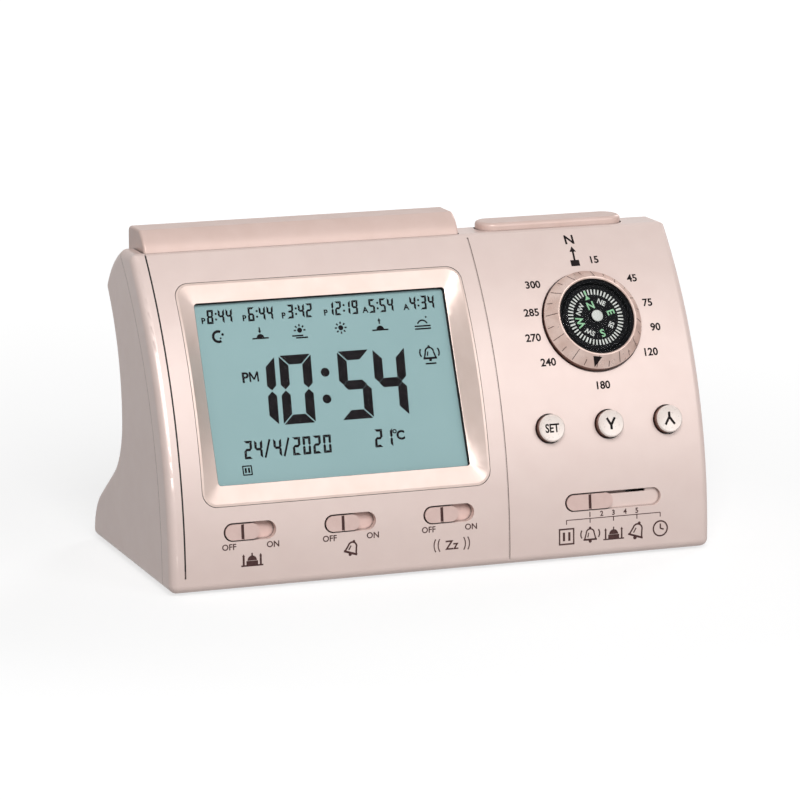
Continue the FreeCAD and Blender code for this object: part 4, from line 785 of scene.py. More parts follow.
@dataclass
class SegmentWriter:
    """Writes mitred segment digits into a drawing.

    Width, height, stroke and gap are in millimetres, and the lean is in degrees. The cuts, the colon's place,
    radius and pitch and the slash's stroke are shares of the stroke. The colon's levels are shares of the
    height, the slash's pitch of the digits' pitch, and the slash's reach and the tuck of a one of the width.
    """

    drawing: Drawing
    width: float
    height: float
    stroke: float
    gap: float
    lean: float = 3.6
    half_cut: float = 0.48
    full_cut: float = 0.94
    middle_cut: float = 0.7
    colon_levels: Span = (0.3, 0.7)
    colon_place: float = 0.6
    colon_radius: float = 0.55
    colon_pitch: float = 1.6
    slash_reach: float = 0.8
    slash_stroke: float = 0.8
    slash_pitch: float = 0.85
    one_tuck: float = 0.3

    @property
    def slope(self) -> float:
        """How far the signs lean to the right for each millimetre up."""
        return math.tan(math.radians(self.lean))

    def segment(self, centre: Point, length: float, upright: bool, corners: dict[Point, float]) -> None:
        """One segment: a bar whose corners are cut away.

        Args:
            centre: Its middle.
            length: Its length.
            upright: True for a segment that stands.
            corners: The signs of each cut corner in X and Y, and how far it is cut.
        """
        size = (self.stroke, length) if upright else (length, self.stroke)
        shape = Matrix.Translation((*centre, 0)) @ Matrix.Diagonal((*size, 1, 1))
        mesh = self.drawing.mesh
        verts = bmesh.ops.create_grid(mesh, x_segments=1, y_segments=1, size=0.5, matrix=shape)["verts"]
        places = {
            (math.copysign(1, vert.co.x - centre[0]), math.copysign(1, vert.co.y - centre[1])): vert
            for vert in verts
        }
        for signs, amount in corners.items():
            bmesh.ops.bevel(
                mesh, geom=[places[signs]], offset=amount, offset_type="OFFSET", affect="VERTICES",
                segments=1, profile=0.5, material=-1,
            )

    def digit(self, sign: str, x: float, y: float) -> None:
        """Write one digit with its lower left corner at a place.

        Args:
            sign: The digit.
            x: Its left side.
            y: Its foot.
        """
        before = set(self.drawing.mesh.verts)
        half, full = self.stroke * self.half_cut, self.stroke * self.full_cut
        across = self.width - 2 * self.gap
        tall = self.height / 2 - 1.5 * self.gap
        left, right = self.stroke / 2, self.width - self.stroke / 2
        top, middle = self.height - self.stroke / 2, self.height / 2
        level = {
            "a": (top, {(-1, -1): full, (1, -1): full}),
            "g": (middle, {(-1, -1): half, (1, -1): half, (-1, 1): half, (1, 1): half}),
            "d": (self.stroke / 2, {(-1, 1): full, (1, 1): full}),
        }
        stand = {"f": (left, 1, 1), "e": (left, -1, 1), "b": (right, 1, -1), "c": (right, -1, -1)}
        for name in SEGMENTS[sign]:
            if name in level:
                height, corners = level[name]
                length = across - self.stroke * (self.middle_cut if name == "g" else 0.0)
                self.segment((x + self.width / 2, y + height), length, False, corners)
                continue
            place, up, inner = stand[name]
            corners = {(inner, up): full, (1, -up): half, (-1, -up): half}
            centre = (x + place, y + middle + up * (self.gap / 2 + tall / 2))
            self.segment(centre, tall, True, corners)
        for vert in self.drawing.added(before):
            vert.co.x += (vert.co.y - y) * self.slope

    def colon(self, x: float, y: float) -> None:
        """Write the two dots between hours and minutes.

        Args:
            x: Their left side.
            y: The digits' foot.
        """
        for share in self.colon_levels:
            rise = self.height * share
            across = x + self.stroke * self.colon_place + rise * self.slope
            self.drawing.disc(across, y + rise, self.stroke * self.colon_radius, 12)

    def write(self, signs: str, x: float, y: float, pitch: float) -> None:
        """Write a row of digits, colons and slashes.

        Args:
            signs: What to write.
            x: Its left side.
            y: Its foot.
            pitch: The step from digit to digit.
        """
        for sign in signs:
            if sign == ":":
                self.colon(x, y)
                x += self.stroke * self.colon_pitch
            elif sign == "/":
                top = (x + self.width * self.slash_reach, y + self.height)
                self.drawing.bar((x, y), top, self.stroke * self.slash_stroke)
                x += pitch * self.slash_pitch
            else:
                if sign == "1":
                    x -= self.width * self.one_tuck
                self.digit(sign, x, y)
                x += pitch


# ---------------------------------------------------------------- pictograms
class Pictogram(Enum):
    """The small generic pictures that stand on the front and on the display."""

    DOME = "dome"
    BELL = "bell"
    CLOCK = "clock"
    CALENDAR = "calendar"
    RINGING = "ringing"
    MOON = "moon"
    SUNSET = "sunset"
    LOW_SUN = "low_sun"
    NOON = "noon"
    SUNRISE = "sunrise"
    DAWN = "dawn"


@dataclass
class PictogramPen:
    """Draws pictograms into a drawing, each about one unit high."""

    drawing: Drawing
    line: float = 0.09

    def draw(self, kind: Pictogram, x: float, y: float, size: float, lean: float = 0.0) -> None:
        """Draw a pictogram about a place.

        Args:
            kind: Which one.
            x: Its middle across.
            y: Its middle height.
            size: Its height.
            lean: How far it is turned, in degrees.
        """
        before = set(self.drawing.mesh.verts)
        getattr(self, kind.value)()
        made = self.drawing.added(before)
        bmesh.ops.scale(self.drawing.mesh, vec=(size, size, 1), verts=made)
        self.drawing.turn(lean, made)
        bmesh.ops.translate(self.drawing.mesh, vec=(x, y, 0), verts=made)

    def dome(self) -> None:
        """A domed hall between two slim towers."""
        pen = self.drawing
        pen.half_disc(0, -0.1, 0.34)
        pen.bar((-0.42, -0.28), (0.42, -0.28), 0.3)
        pen.bar((0, 0.2), (0, 0.42), self.line)
        for side in (-1, 1):
            pen.bar((side * 0.62, -0.43), (side * 0.62, 0.22), self.line * 1.4)
            pen.disc(side * 0.62, 0.26, 0.11, 3)
        pen.bar((-0.8, -0.46), (0.8, -0.46), self.line)

    def bell(self) -> None:
        """A bell with its rim and clapper."""
        pen = self.drawing
        pen.arc(0, 0.1, 0.26, self.line, 0, 180)
        for side in (-1, 1):
            pen.bar((side * 0.26, 0.1), (side * 0.36, -0.26), self.line)
        pen.bar((-0.44, -0.3), (0.44, -0.3), self.line * 1.3)
        pen.disc(0, -0.4, 0.1, 12)
        pen.disc(0, 0.42, 0.08, 10)
        pen.bar((-0.1, 0.12), (-0.16, -0.16), self.line * 0.8)

    def clock(self) -> None:
        """A round clock face with two hands."""
        pen = self.drawing
        pen.arc(0, 0, 0.42, self.line, 0, 360)
        pen.bar((0, 0), (0, 0.27), self.line)
        pen.bar((0, 0), (0.2, -0.06), self.line)

    def calendar(self) -> None:
        """A framed leaf with two columns of bars."""
        pen = self.drawing
        for side in (-1, 1):
            pen.bar((side * 0.42, -0.46), (side * 0.42, 0.46), self.line)
            pen.bar((-0.46, side * 0.42), (0.46, side * 0.42), self.line)
            pen.bar((side * 0.16, -0.24), (side * 0.16, 0.24), self.line * 1.6)

    def ringing(self) -> None:
        """A bell between sound waves, over a short base."""
        self.bell()
        for side, start in ((-1, 145), (1, -35)):
            self.drawing.arc(side * 0.2, 0.05, 0.42, self.line, start, start + 70)

    def moon(self) -> None:
        """A crescent with two stars."""
        pen = self.drawing
        pen.arc(0.0, 0.0, 0.34, 0.17, 60, 300)
        pen.disc(0.3, 0.12, 0.1, 5)
        pen.disc(0.14, -0.12, 0.07, 5)

    def sun(self, height: float, rays: Sequence[float]) -> None:
        """A sun with rays at some angles.

        Args:
            height: Its middle height.
            rays: The angles of its rays, in degrees.
        """
        pen = self.drawing
        pen.disc(0, height, 0.17, 16)
        for angle in rays:
            way = Vector((math.cos(math.radians(angle)), math.sin(math.radians(angle))))
            pen.bar((way.x * 0.25, height + way.y * 0.25), (way.x * 0.4, height + way.y * 0.4), self.line)

    def horizon(self, low: float = -0.3) -> None:
        """A line under the sun."""
        self.drawing.bar((-0.55, low), (0.55, low), self.line)

    def sunset(self) -> None:
        """Half a sun with an arrow down to the horizon."""
        self.drawing.half_disc(0, -0.28, 0.26)
        self.drawing.bar((0, 0.42), (0, 0.16), self.line)
        self.drawing.disc(0, 0.14, 0.13, 3, math.pi)
        self.horizon()

    def low_sun(self) -> None:
        """A sun beside a long shadow."""
        self.sun(0.05, (0, 45, 90, 135, 180))
        self.drawing.bar((-0.55, -0.3), (0.2, -0.3), self.line)
        self.drawing.bar((-0.3, -0.44), (0.5, -0.44), self.line)

    def noon(self) -> None:
        """A full sun with all its rays."""
        self.sun(0.02, range(0, 360, 45))

    def sunrise(self) -> None:
        """Half a sun with an arrow up from the horizon."""
        self.drawing.half_disc(0, -0.28, 0.26)
        self.drawing.bar((0, 0.1), (0, 0.34), self.line)
        self.drawing.disc(0, 0.36, 0.13, 3)
        self.horizon()

    def dawn(self) -> None:
        """The first light: a thin arc over two lines."""
        self.drawing.arc(0, -0.2, 0.34, self.line, 20, 160)
        self.horizon(-0.24)
        self.horizon(-0.42)
        self.drawing.disc(0.3, 0.34, 0.07, 5)


# ---------------------------------------------------------------- sub-assemblies
@dataclass
class CasingDress:
    """The finishes of all carried nodes and the painted shade strip in the casing's groove.

    Sizes are in millimetres.
    """

    groove_place: float = 4.5
    groove_width: float = 0.5
    groove_depth: float = 0.6
    groove_low: float = 5.0
    groove_high: float = 100.6
    strip_gap: float = 0.02
    strip_lift: float = 0.05
    strip_thickness: float = 0.15

    def finish_nodes(self, nodes: dict[str, bpy.types.Object]) -> None:
        """Give every carried node its finish.

        Args:
            nodes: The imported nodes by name.
        """
        for name, node in nodes.items():
            finish = NODE_FINISHES[name]
            node.data.materials.clear()
            node.data.materials.append(finish.material())

    def groove_shade_strip(self) -> None:
        """A dark strip of painted shade on the floor of the groove near the left edge of the front."""
        # The strip stands in for the shade deep in the groove.
        pen = Drawing(self.strip_thickness)
        length = self.groove_high - self.groove_low
        pen.bar((0, 0), (0, length), self.groove_width - 2 * self.strip_gap, step=2.0)
        floor = on_arch(self.groove_place, self.groove_low, self.strip_lift - self.groove_depth)
        pen.lay("groove_shade_strip", floor, Body.CASING, SHADE)


def square_ring(half: Point, corner: float, reach: Span, heights: Span, sides: int = 32) -> bmesh.types.BMesh:
    """A closed frame of rectangular section around a rounded rectangle.

    Args:
        half: Half the rectangle's width and height.
        corner: Its corner radius.
        reach: How far the frame's two sides lie outside the rectangle.
        heights: The frame's bottom and top.
        sides: How many steps its four corners take together.

    Returns:
        The frame, in millimetres about the origin.
    """
    mesh = bmesh.new()
    middle = Vector((corner + sum(reach) / 2, 0, sum(heights) / 2))
    shape = Matrix.Rotation(math.pi / sides, 4, "Z") @ Matrix.Translation(middle)
    shape = shape @ Matrix.Rotation(math.pi / 2, 4, "X")
    shape = shape @ Matrix.Diagonal((reach[1] - reach[0], heights[1] - heights[0], 1, 1))
    bmesh.ops.create_grid(mesh, x_segments=1, y_segments=1, size=0.5, matrix=shape)
    bmesh.ops.delete(mesh, geom=mesh.faces[:], context="FACES_ONLY")
    bmesh.ops.spin(
        mesh, geom=[*mesh.verts, *mesh.edges], cent=(0, 0, 0), axis=(0, 0, 1), angle=math.tau, steps=sides,
        use_merge=True, use_duplicate=False,
    )
    for vert in mesh.verts:
        vert.co.x += math.copysign(half[0] - corner, vert.co.x)
        vert.co.y += math.copysign(half[1] - corner, vert.co.y)
    bmesh.ops.recalc_face_normals(mesh, faces=mesh.faces[:])
    return mesh


@dataclass
class DisplayDress:
    """The painted shade around the display glass and everything that the display shows.

    Sizes are in millimetres, and places are on the glass about its middle.
    """

    place: float = 55.2
    rise: float = 56.5
    window: Point = (78.0, 54.4)
    corner: float = 1.0
    recess: float = 4.4
    land: float = 0.6
    glass_top: float = -6.1
    wall_reach: Span = (-0.06, -0.02)
    border_reach: Span = (-0.12, 2.0)
    border_lift: Span = (0.01, 0.035)
    ink_thickness: float = 0.025
    ink_lift: float = 0.008
    digits: tuple[tuple[str, float], ...] = (("1", -27.4), ("0", -16.1), ("5", 2.0), ("4", 13.1))
    digits_foot: float = -10.3
    colon: tuple[Point, ...] = ((-1.2, 4.4), (-1.8, -3.6))
    colon_radius: float = 1.35
    times: tuple[tuple[float, str, str], ...] = (
        (-36.6, "P", "8:44"), (-24.0, "P", "6:44"), (-11.9, "P", "3:42"), (1.2, "P", "12:19"),
        (13.6, "A", "5:54"), (26.5, "A", "4:34"),
    )
    times_foot: float = 21.2
    times_pitch: float = 2.4
    marks: tuple[tuple[float, Pictogram], ...] = (
        (-32.3, Pictogram.MOON), (-19.5, Pictogram.SUNSET), (-7.2, Pictogram.LOW_SUN), (5.6, Pictogram.NOON),
        (17.8, Pictogram.SUNRISE), (31.2, Pictogram.DAWN),
    )
    marks_level: float = 17.3
    marks_size: float = 4.6
    frame: Matrix = field(init=False)

    def __post_init__(self) -> None:
        """Find the display's frame."""
        self.frame = ARCH.frame(self.place, self.rise)

    def build(self) -> None:
        """Make the painted shade around the glass and the segments."""
        self.surround()
        self.large_time()
        self.small_times()
        self.lower_row()

    def surround(self) -> None:
        """Painted shade on the wall of the window opening and on a border of the glass under the bezel's
        edge, where shade falls.
        """
        half = (self.window[0] / 2, self.window[1] / 2)
        wall = (-self.recess - self.land, -self.recess)
        border = (self.glass_top + self.border_lift[0], self.glass_top + self.border_lift[1])
        # Both frames are painted shade.
        for name, reach, heights in (
            ("window_wall_shade", self.wall_reach, wall), ("glass_border_shade", self.border_reach, border),
        ):
            mesh = square_ring(half, self.corner, reach, heights)
            bmesh.ops.transform(mesh, matrix=self.frame @ Matrix.Scale(MM, 4), verts=mesh.verts[:])
            hand_over(mesh, name, Body.CASING, SHADE)

    def lay(self, pen: Drawing, name: str) -> None:
        """Lay a drawing on the glass."""
        pen.lay(name, on_plane(self.frame, self.glass_top + self.ink_lift), Body.CASING, SEGMENT)

    def large_time(self) -> None:
        """The large hours and minutes, with their half-day mark."""
        pen = Drawing(self.ink_thickness)
        writer = SegmentWriter(pen, width=9.9, height=20.6, stroke=2.8, gap=0.4)
        for sign, left in self.digits:
            writer.digit(sign, left, self.digits_foot)
        for x, y in self.colon:
            pen.disc(x, y, self.colon_radius)
        self.half_day(pen)
        self.lay(pen, "large_time")

    @staticmethod
    def half_day(pen: Drawing) -> None:
        """The letters PM beside the large digits, the M drawn with four strokes.

        Args:
            pen: The drawing.
        """
        pen.text("P", -25.9, 4.6, 3.0, weight=0.04)
        middle, half, foot, dip, top, stroke = -23.2, 1.2, 3.1, 3.8, 6.1, 0.5
        for side in (middle - half, middle + half):
            pen.bar((side, foot), (side, top), stroke)
        for side in (middle - half, middle + half):
            pen.bar((side, top), (middle, dip), stroke)

    def small_times(self) -> None:
        """The row of six small times, each over its own pictogram, and the ringing bell under them."""
        pen = Drawing(self.ink_thickness)
        writer = SegmentWriter(pen, width=1.95, height=4.2, stroke=0.62, gap=0.06)
        for left, half_day, time in self.times:
            pen.text(half_day, left + 0.4, self.times_foot + 1.1, 1.7, weight=0.05)
            writer.write(time, left + 1.5, self.times_foot, self.times_pitch)
        pictures = PictogramPen(pen, 0.1)
        for x, kind in self.marks:
            pictures.draw(kind, x, self.marks_level, self.marks_size)
        pictures.draw(Pictogram.RINGING, 32.1, 7.8, 4.9)
        pen.bar((30.4, 4.7), (33.8, 4.7), 0.5)
        self.lay(pen, "small_times")

    def lower_row(self) -> None:
        """The date, the temperature and the small leaf mark."""
        pen = Drawing(self.ink_thickness)
        writer = SegmentWriter(pen, width=2.45, height=5.4, stroke=0.75, gap=0.07)
        writer.write("24/4/2020", -29.4, -19.6, 3.16)
        writer.write("21", 11.0, -19.2, 3.9)
        pen.arc(17.6, -14.8, 0.5, 0.35, 0, 360)
        pen.text("C", 19.3, -16.0, 2.6, weight=0.06)
        PictogramPen(pen, 0.12).draw(Pictogram.CALENDAR, -29.1, -22.9, 3.1)
        self.lay(pen, "lower_row")


@dataclass
class SwitchMarks:
    """The prints around the slide switches.

    Places run from the left end, rises up the arch. The other places are about a switch's middle.
    """

    first: float = 24.4
    pitch: float = 30.8
    rise: float = 15.2
    letters: float = 1.75
    letter_weight: float = 0.02
    off_place: Point = (-6.5, -4.2)
    on_place: Point = (6.9, -4.3)
    wave_radius: float = 3.6
    wave_width: float = 0.32
    wave_span: float = 64.0
    wave_reaches: Span = (4.3, 5.6)
    mode_place: float = 138.5
    mode_step: float = 7.6
    mode_kinds: tuple[tuple[Pictogram, float, float], ...] = (
        (Pictogram.CALENDAR, 5.4, 0.0), (Pictogram.RINGING, 4.9, 0.0), (Pictogram.DOME, 4.2, 0.0),
        (Pictogram.BELL, 5.6, -18.0), (Pictogram.CLOCK, 5.4, 0.0),
    )
    number_level: float = -3.85
    number_height: float = 1.5
    rail_level: float = -5.1
    rail_width: float = 0.22
    leader_length: float = 1.3
    leader_width: float = 0.26
    picture_level: float = -10.0

    def build(self) -> None:
        """Print the words and pictures under the switches."""
        self.small_switches()
        self.mode_scale()

    def small_switches(self) -> None:
        """The words beside each small switch and the picture under it."""
        pen = Drawing()
        pictures = PictogramPen(pen, 0.1)
        for middle in (0.0, self.pitch, 2 * self.pitch):
            for words, place in (("OFF", self.off_place), ("ON", self.on_place)):
                pen.text(words, middle + place[0], place[1], self.letters, weight=self.letter_weight)
        pictures.draw(Pictogram.DOME, 0.4, -8.2, 4.2)
        pictures.draw(Pictogram.BELL, self.pitch + 0.3, -7.6, 4.9, lean=-18)
        self.snooze_sign(pen, 2 * self.pitch + 0.7, -9.3)
        pen.lay("small_switch_marks", on_arch(self.first, self.rise), Body.CASING, SOFT_INK)

    def snooze_sign(self, pen: Drawing, x: float, y: float) -> None:
        """The sleeping sign between two pairs of waves.

        Args:
            pen: The drawing.
            x: The sign's middle across.
            y: The letters' middle height.
        """
        pen.text("Zz", x, y, 2.7, weight=self.letter_weight)
        for side, middle_angle in ((-1, 180.0), (1, 0.0)):
            start = middle_angle - self.wave_span / 2
            for reach in self.wave_reaches:
                centre = x + side * (reach - self.wave_radius)
                pen.arc(centre, y + 0.1, self.wave_radius, self.wave_width, start, start + self.wave_span)

    def mode_scale(self) -> None:
        """The numbered scale of the mode switch, its leader lines and its five pictures."""
        pen = Drawing()
        pictures = PictogramPen(pen, 0.08)
        rail = self.rail_level
        for index, (kind, size, lean) in enumerate(self.mode_kinds):
            shift = (index - 2) * self.mode_step
            pen.text(str(index + 1), shift / 2, self.number_level, self.number_height, weight=0.03)
            pen.bar((shift, rail), (shift, rail - self.leader_length), self.leader_width)
            pictures.draw(kind, shift, self.picture_level, size, lean)
        reach = 2 * self.mode_step
        pen.bar((-reach, rail), (reach, rail), self.rail_width)
        pen.lay("mode_marks", on_arch(self.mode_place, self.rise), Body.CASING, SOFT_INK)


@dataclass
class ButtonMarks:
    """The marks on the three push buttons. Sizes are in millimetres."""

    place: float = 138.6
    pitch: float = 19.0
    rise: float = 37.8
    proud: float = 2.5
    dish: float = 0.35
    dish_radius: float = 3.75
    stroke: float = 0.7
    stem_stroke: float = 0.75
    step: float = 0.6

    def build(self) -> None:
        """Print each button's mark on its dished cap."""
        for shift, body, name, draw in (
            (-self.pitch, Body.SET_BUTTON, "set_mark", self.word),
            (0.0, Body.DOWN_BUTTON, "down_mark", self.fork_down),
            (self.pitch, Body.UP_BUTTON, "up_mark", self.fork_up),
        ):
            pen = Drawing()
            draw(pen)
            pen.lay(name, self.on_cap(shift), body, INK)

    def on_cap(self, shift: float) -> Mapping:
        """Lay millimetre drawings in the dish of a button's cap.

        Args:
            shift: How far the button stands to the right of the middle one.

        Returns:
            The mapping.
        """
        frame = ARCH.frame(self.place, self.rise) @ Matrix.Translation((shift * MM, 0, 0))
        bowl = (self.dish_radius**2 + self.dish**2) / (2 * self.dish)

        def place_point(point: Vector) -> Vector:
            """Follow the dish.

            Args:
                point: A point of the drawing.

            Returns:
                Its place in metres.
            """
            low = bowl - math.sqrt(bowl**2 - point.x**2 - point.y**2)
            height = self.proud - self.dish + low + point.z + PRINT_LIFT
            return frame @ (Vector((point.x, point.y, height)) * MM)

        return place_point

    @staticmethod
    def word(pen: Drawing) -> None:
        """The word on the first button."""
        pen.text("SET", 0, 0, 2.5, weight=0.035, stretch=0.8)

    def fork(self, pen: Drawing, stem: Span, joint: float, tip: Point) -> None:
        """An arrow of three strokes.

        Args:
            pen: The drawing.
            stem: The heights of the stem's two ends.
            joint: Where the two arms meet on the stem.
            tip: How far out and how high the arms end.
        """
        pen.bar((0, stem[0]), (0, stem[1]), self.stem_stroke, self.step)
        for side in (-1, 1):
            pen.bar((0, joint), (side * tip[0], tip[1]), self.stroke, self.step)

    def fork_down(self, pen: Drawing) -> None:
        """A forked arrow that points down."""
        self.fork(pen, stem=(0.1, -1.8), joint=-0.5, tip=(1.3, 1.7))

    def fork_up(self, pen: Drawing) -> None:
        """A forked arrow that points up."""
        self.fork(pen, stem=(0.0, 2.1), joint=0.6, tip=(1.5, -1.7))


@dataclass
class CompassDress:
    """The compass card's print, the ring's scale and the bearings around it.

    Sizes are in millimetres, angles in degrees. The ticks' reach and the north bar run from their nearer to
    their farther end, and the letters' heights and the scale's inner ends take turns. The ring's foot and
    crest give the distance from its middle and the height over the front.
    """

    place: float = 138.1
    rise: float = 69.4
    card_top: float = 3.4
    card_turn: float = 14.0
    card_ink: float = 0.02
    tick_count: int = 48
    tick_group: int = 6
    tick_reach: Span = (7.15, 8.8)
    tick_width: float = 0.44
    group_tick_width: float = 0.56
    directions: tuple[str, ...] = ("N", "NW", "W", "SW", "S", "SE", "E", "NE")
    letter_heights: Span = (2.3, 1.5)
    letter_radius: float = 5.3
    north_radius: float = 3.9
    north_bar: Span = (7.35, 8.6)
    north_bar_width: float = 0.6
    north_triangle: float = 6.3
    north_triangle_radius: float = 0.95
    hub_radius: float = 1.8
    hub_top: float = 4.82
    hub_flatness: float = 0.25
    ring_foot: Point = (15.5, 1.15)
    ring_crest: Point = (12.38, 5.0)
    scale_count: int = 24
    scale_edge: float = 15.2
    scale_inner: Span = (13.9, 12.6)
    scale_width: float = 0.18
    pointer_place: float = 13.6
    pointer_radius: float = 1.6
    pointer_turn: float = 170.0
    bearing_height: float = 2.3
    bearing_weight: float = 0.035
    bearings: tuple[tuple[float, float, str, Align], ...] = (
        (124.2, 82.3, "300", Align.RIGHT), (121.9, 73.4, "285", Align.RIGHT),
        (120.9, 65.5, "270", Align.RIGHT), (124.4, 57.7, "240", Align.RIGHT),
        (141.6, 89.3, "15", Align.LEFT), (152.4, 82.3, "45", Align.LEFT), (155.6, 74.1, "75", Align.LEFT),
        (156.6, 66.2, "90", Align.LEFT), (152.7, 58.6, "120", Align.LEFT), (138.2, 49.6, "180", Align.CENTRE),
    )
    frame: Matrix = field(init=False)
    card_frame: Matrix = field(init=False)

    def __post_init__(self) -> None:
        """Find the compass's frame and its card's at rest."""
        self.frame = ARCH.frame(self.place, self.rise)
        self.card_frame = self.frame @ Matrix.Rotation(math.radians(self.card_turn), 4, "Z")

    def build(self) -> None:
        """Print the card, the ring and the front around them."""
        self.card_ticks()
        self.card_letters()
        self.hub_cap()
        self.ring_scale()
        self.ring_pointer()
        self.bearing_marks()

    def lay_on_card(self, pen: Drawing, name: str, lift: float, ink: Finish) -> None:
        """Lay a drawing on the card."""
        pen.lay(name, on_plane(self.card_frame, self.card_top + lift), Body.CARD, ink)

    def card_ticks(self) -> None:
        """The ring of pale ticks near the card's edge, with a broader one in each group."""
        pen = Drawing(self.card_ink)
        near, far = self.tick_reach
        for index in range(self.tick_count):
            width = self.tick_width if index % self.tick_group else self.group_tick_width
            pen.turn(360 * index / self.tick_count, pen.bar((0, near), (0, far), width))
        self.lay_on_card(pen, "card_ticks", 0.01, PALE_INK)

    def card_letters(self) -> None:
        """The four directions, the four between them and the north pointer."""
        green, pale = Drawing(self.card_ink), Drawing(self.card_ink)
        for index, words in enumerate(self.directions):
            pen = pale if index % 2 else green
            radius = self.letter_radius if index else self.north_radius
            letters = pen.text(words, 0, radius, self.letter_heights[index % 2], weight=0.03)
            pen.turn(360 / len(self.directions) * index, letters)
        near, far = self.north_bar
        green.bar((0, near), (0, far), self.north_bar_width)
        green.disc(0, self.north_triangle, self.north_triangle_radius, 3)
        self.lay_on_card(green, "card_letters", 0.02, GREEN_INK)
        self.lay_on_card(pale, "card_small_letters", 0.01, PALE_INK)

    def hub_cap(self) -> None:
        """The low white cap on the card's hub."""
        mesh = bmesh.new()
        bmesh.ops.create_uvsphere(mesh, u_segments=32, v_segments=16, radius=self.hub_radius)
        bmesh.ops.bisect_plane(
            mesh, geom=[*mesh.verts, *mesh.edges, *mesh.faces], plane_co=(0, 0, 0.001), plane_no=(0, 0, -1),
            clear_outer=True,
        )
        rim = [edge for edge in mesh.edges if edge.is_boundary]
        bmesh.ops.edgeloop_fill(mesh, edges=rim)
        bmesh.ops.scale(mesh, vec=(1, 1, self.hub_flatness), verts=mesh.verts[:])
        bmesh.ops.translate(mesh, vec=(0, 0, self.hub_top), verts=mesh.verts[:])
        bmesh.ops.transform(mesh, matrix=self.card_frame @ Matrix.Scale(MM, 4), verts=mesh.verts[:])
        bmesh.ops.recalc_face_normals(mesh, faces=mesh.faces[:])
        hand_over(mesh, "hub_cap", Body.CARD, PALE_INK)

    def on_ring(self, lift: float) -> Mapping:
        """Lay millimetre drawings on the ring's slope.

        Args:
            lift: Distance out of the slope.

        Returns:
            The mapping. A drawing's distance from its centre is the distance along the plane of the ring.
        """
        foot, crest = Vector(self.ring_foot), Vector(self.ring_crest)
        along = crest - foot
        out = Vector((along.y, -along.x)).normalized()

        def place_point(point: Vector) -> Vector:
            """Raise a point of the drawing onto the slope.

            Args:
                point: A point of the drawing.

            Returns:
                Its place in metres.
            """
            radius = math.hypot(point.x, point.y)
            spot = foot + along * ((foot.x - radius) / (foot.x - crest.x)) + out * (lift + point.z)
            share = spot.x / radius
            return self.frame @ (Vector((point.x * share, point.y * share, spot.y)) * MM)

        return place_point

    def ring_scale(self) -> None:
        """The dark divisions of the turning ring, short and long by turns."""
        pen = Drawing()
        pitch = 360 / self.scale_count
        for index in range(self.scale_count):
            inner = self.scale_inner[index % 2]
            pen.turn(pitch / 2 + pitch * index, pen.bar((0, inner), (0, self.scale_edge), self.scale_width))
        pen.lay("ring_scale", self.on_ring(0.01), Body.RING, SOFT_INK)

    def ring_pointer(self) -> None:
        """The dark triangle on the ring's slope, in cells small enough to follow it."""
        pen = Drawing()
        pen.turn(self.pointer_turn, pen.disc(0, self.pointer_place, self.pointer_radius, 3))
        bmesh.ops.subdivide_edges(pen.mesh, edges=pen.mesh.edges[:], cuts=3, use_grid_fill=True)
        pen.lay("ring_pointer", self.on_ring(0.015), Body.RING, INK)

    def bearing_marks(self) -> None:
        """The bearings printed around the ring, with the north arrow above it."""
        pen = Drawing()
        for place, rise, words, align in self.bearings:
            across, up = place - self.place, rise - self.rise
            pen.text(words, across, up, self.bearing_height, align, weight=self.bearing_weight)
        pen.text("N", -1.0, 27.3, 3.0, weight=self.bearing_weight)
        self.north_arrow(pen, -1.05, 19.1)
        pen.lay("bearing_marks", on_arch(self.place, self.rise), Body.CASING, INK)

    @staticmethod
    def north_arrow(pen: Drawing, x: float, y: float) -> None:
        """A block with a slim arrow that leans a little to the right.

        Args:
            pen: The drawing.
            x: The block's middle across.
            y: Its middle height.
        """
        half, height, lean, stem, tip = 1.4, 2.0, 0.2, 4.0, 4.5
        pen.bar((x - half, y), (x + half, y), height, step=1.0)
        pen.bar((x, y), (x + lean, y + stem), 0.6)
        pen.disc(x + lean, y + tip, 1.2, 3)


@dataclass
class KnobNotchShade:
    """A strip of painted shade in the notch of each switch knob, where the notch's shade falls. Sizes are in
    millimetres.
    """

    rise: float = 15.2
    width: float = 4.6
    end_gap: float = 0.2
    line: float = 0.8
    thickness: float = 0.05
    lift: float = 0.21
    knobs: tuple[tuple[str, Body, float], ...] = (
        ("azan", Body.AZAN_SWITCH, 22.0), ("alarm", Body.ALARM_SWITCH, 52.8),
        ("snooze", Body.SNOOZE_SWITCH, 83.6), ("mode", Body.MODE_SELECTOR, 130.8),
    )

    def build(self) -> None:
        """Lay a strip of painted shade in each notch."""
        end = self.width / 2 - self.end_gap
        for name, body, place in self.knobs:
            pen = Drawing(self.thickness)
            pen.bar((0, -end), (0, end), self.line)
            # The strip is painted shade in the soft ink's colour.
            pen.lay(name + "_knob_notch_shade", on_plane(ARCH.frame(place, self.rise), self.lift), body, SOFT_INK)


# ---------------------------------------------------------------- stage
@dataclass(frozen=True)
class Lamp:
    """A soft rectangular lamp that looks at the clock. Lengths are in metres, the power is in watts."""

    name: str
    place: Place
    size: Span
    power: float
    aim: Place = (0, 0, 0.05)

    def build(self) -> None:
        """Hang the lamp."""
        data = bpy.data.lights.new(self.name, "AREA")
        data.shape = "RECTANGLE"
        data.size, data.size_y = self.size
        data.energy = self.power
        lamp = bpy.data.objects.new(self.name, data)
        lamp.location = self.place
        ahead = Vector(self.aim) - Vector(self.place)
        lamp.rotation_euler = ahead.to_track_quat("-Z", "Y").to_euler()
        bpy.context.scene.collection.objects.link(lamp)


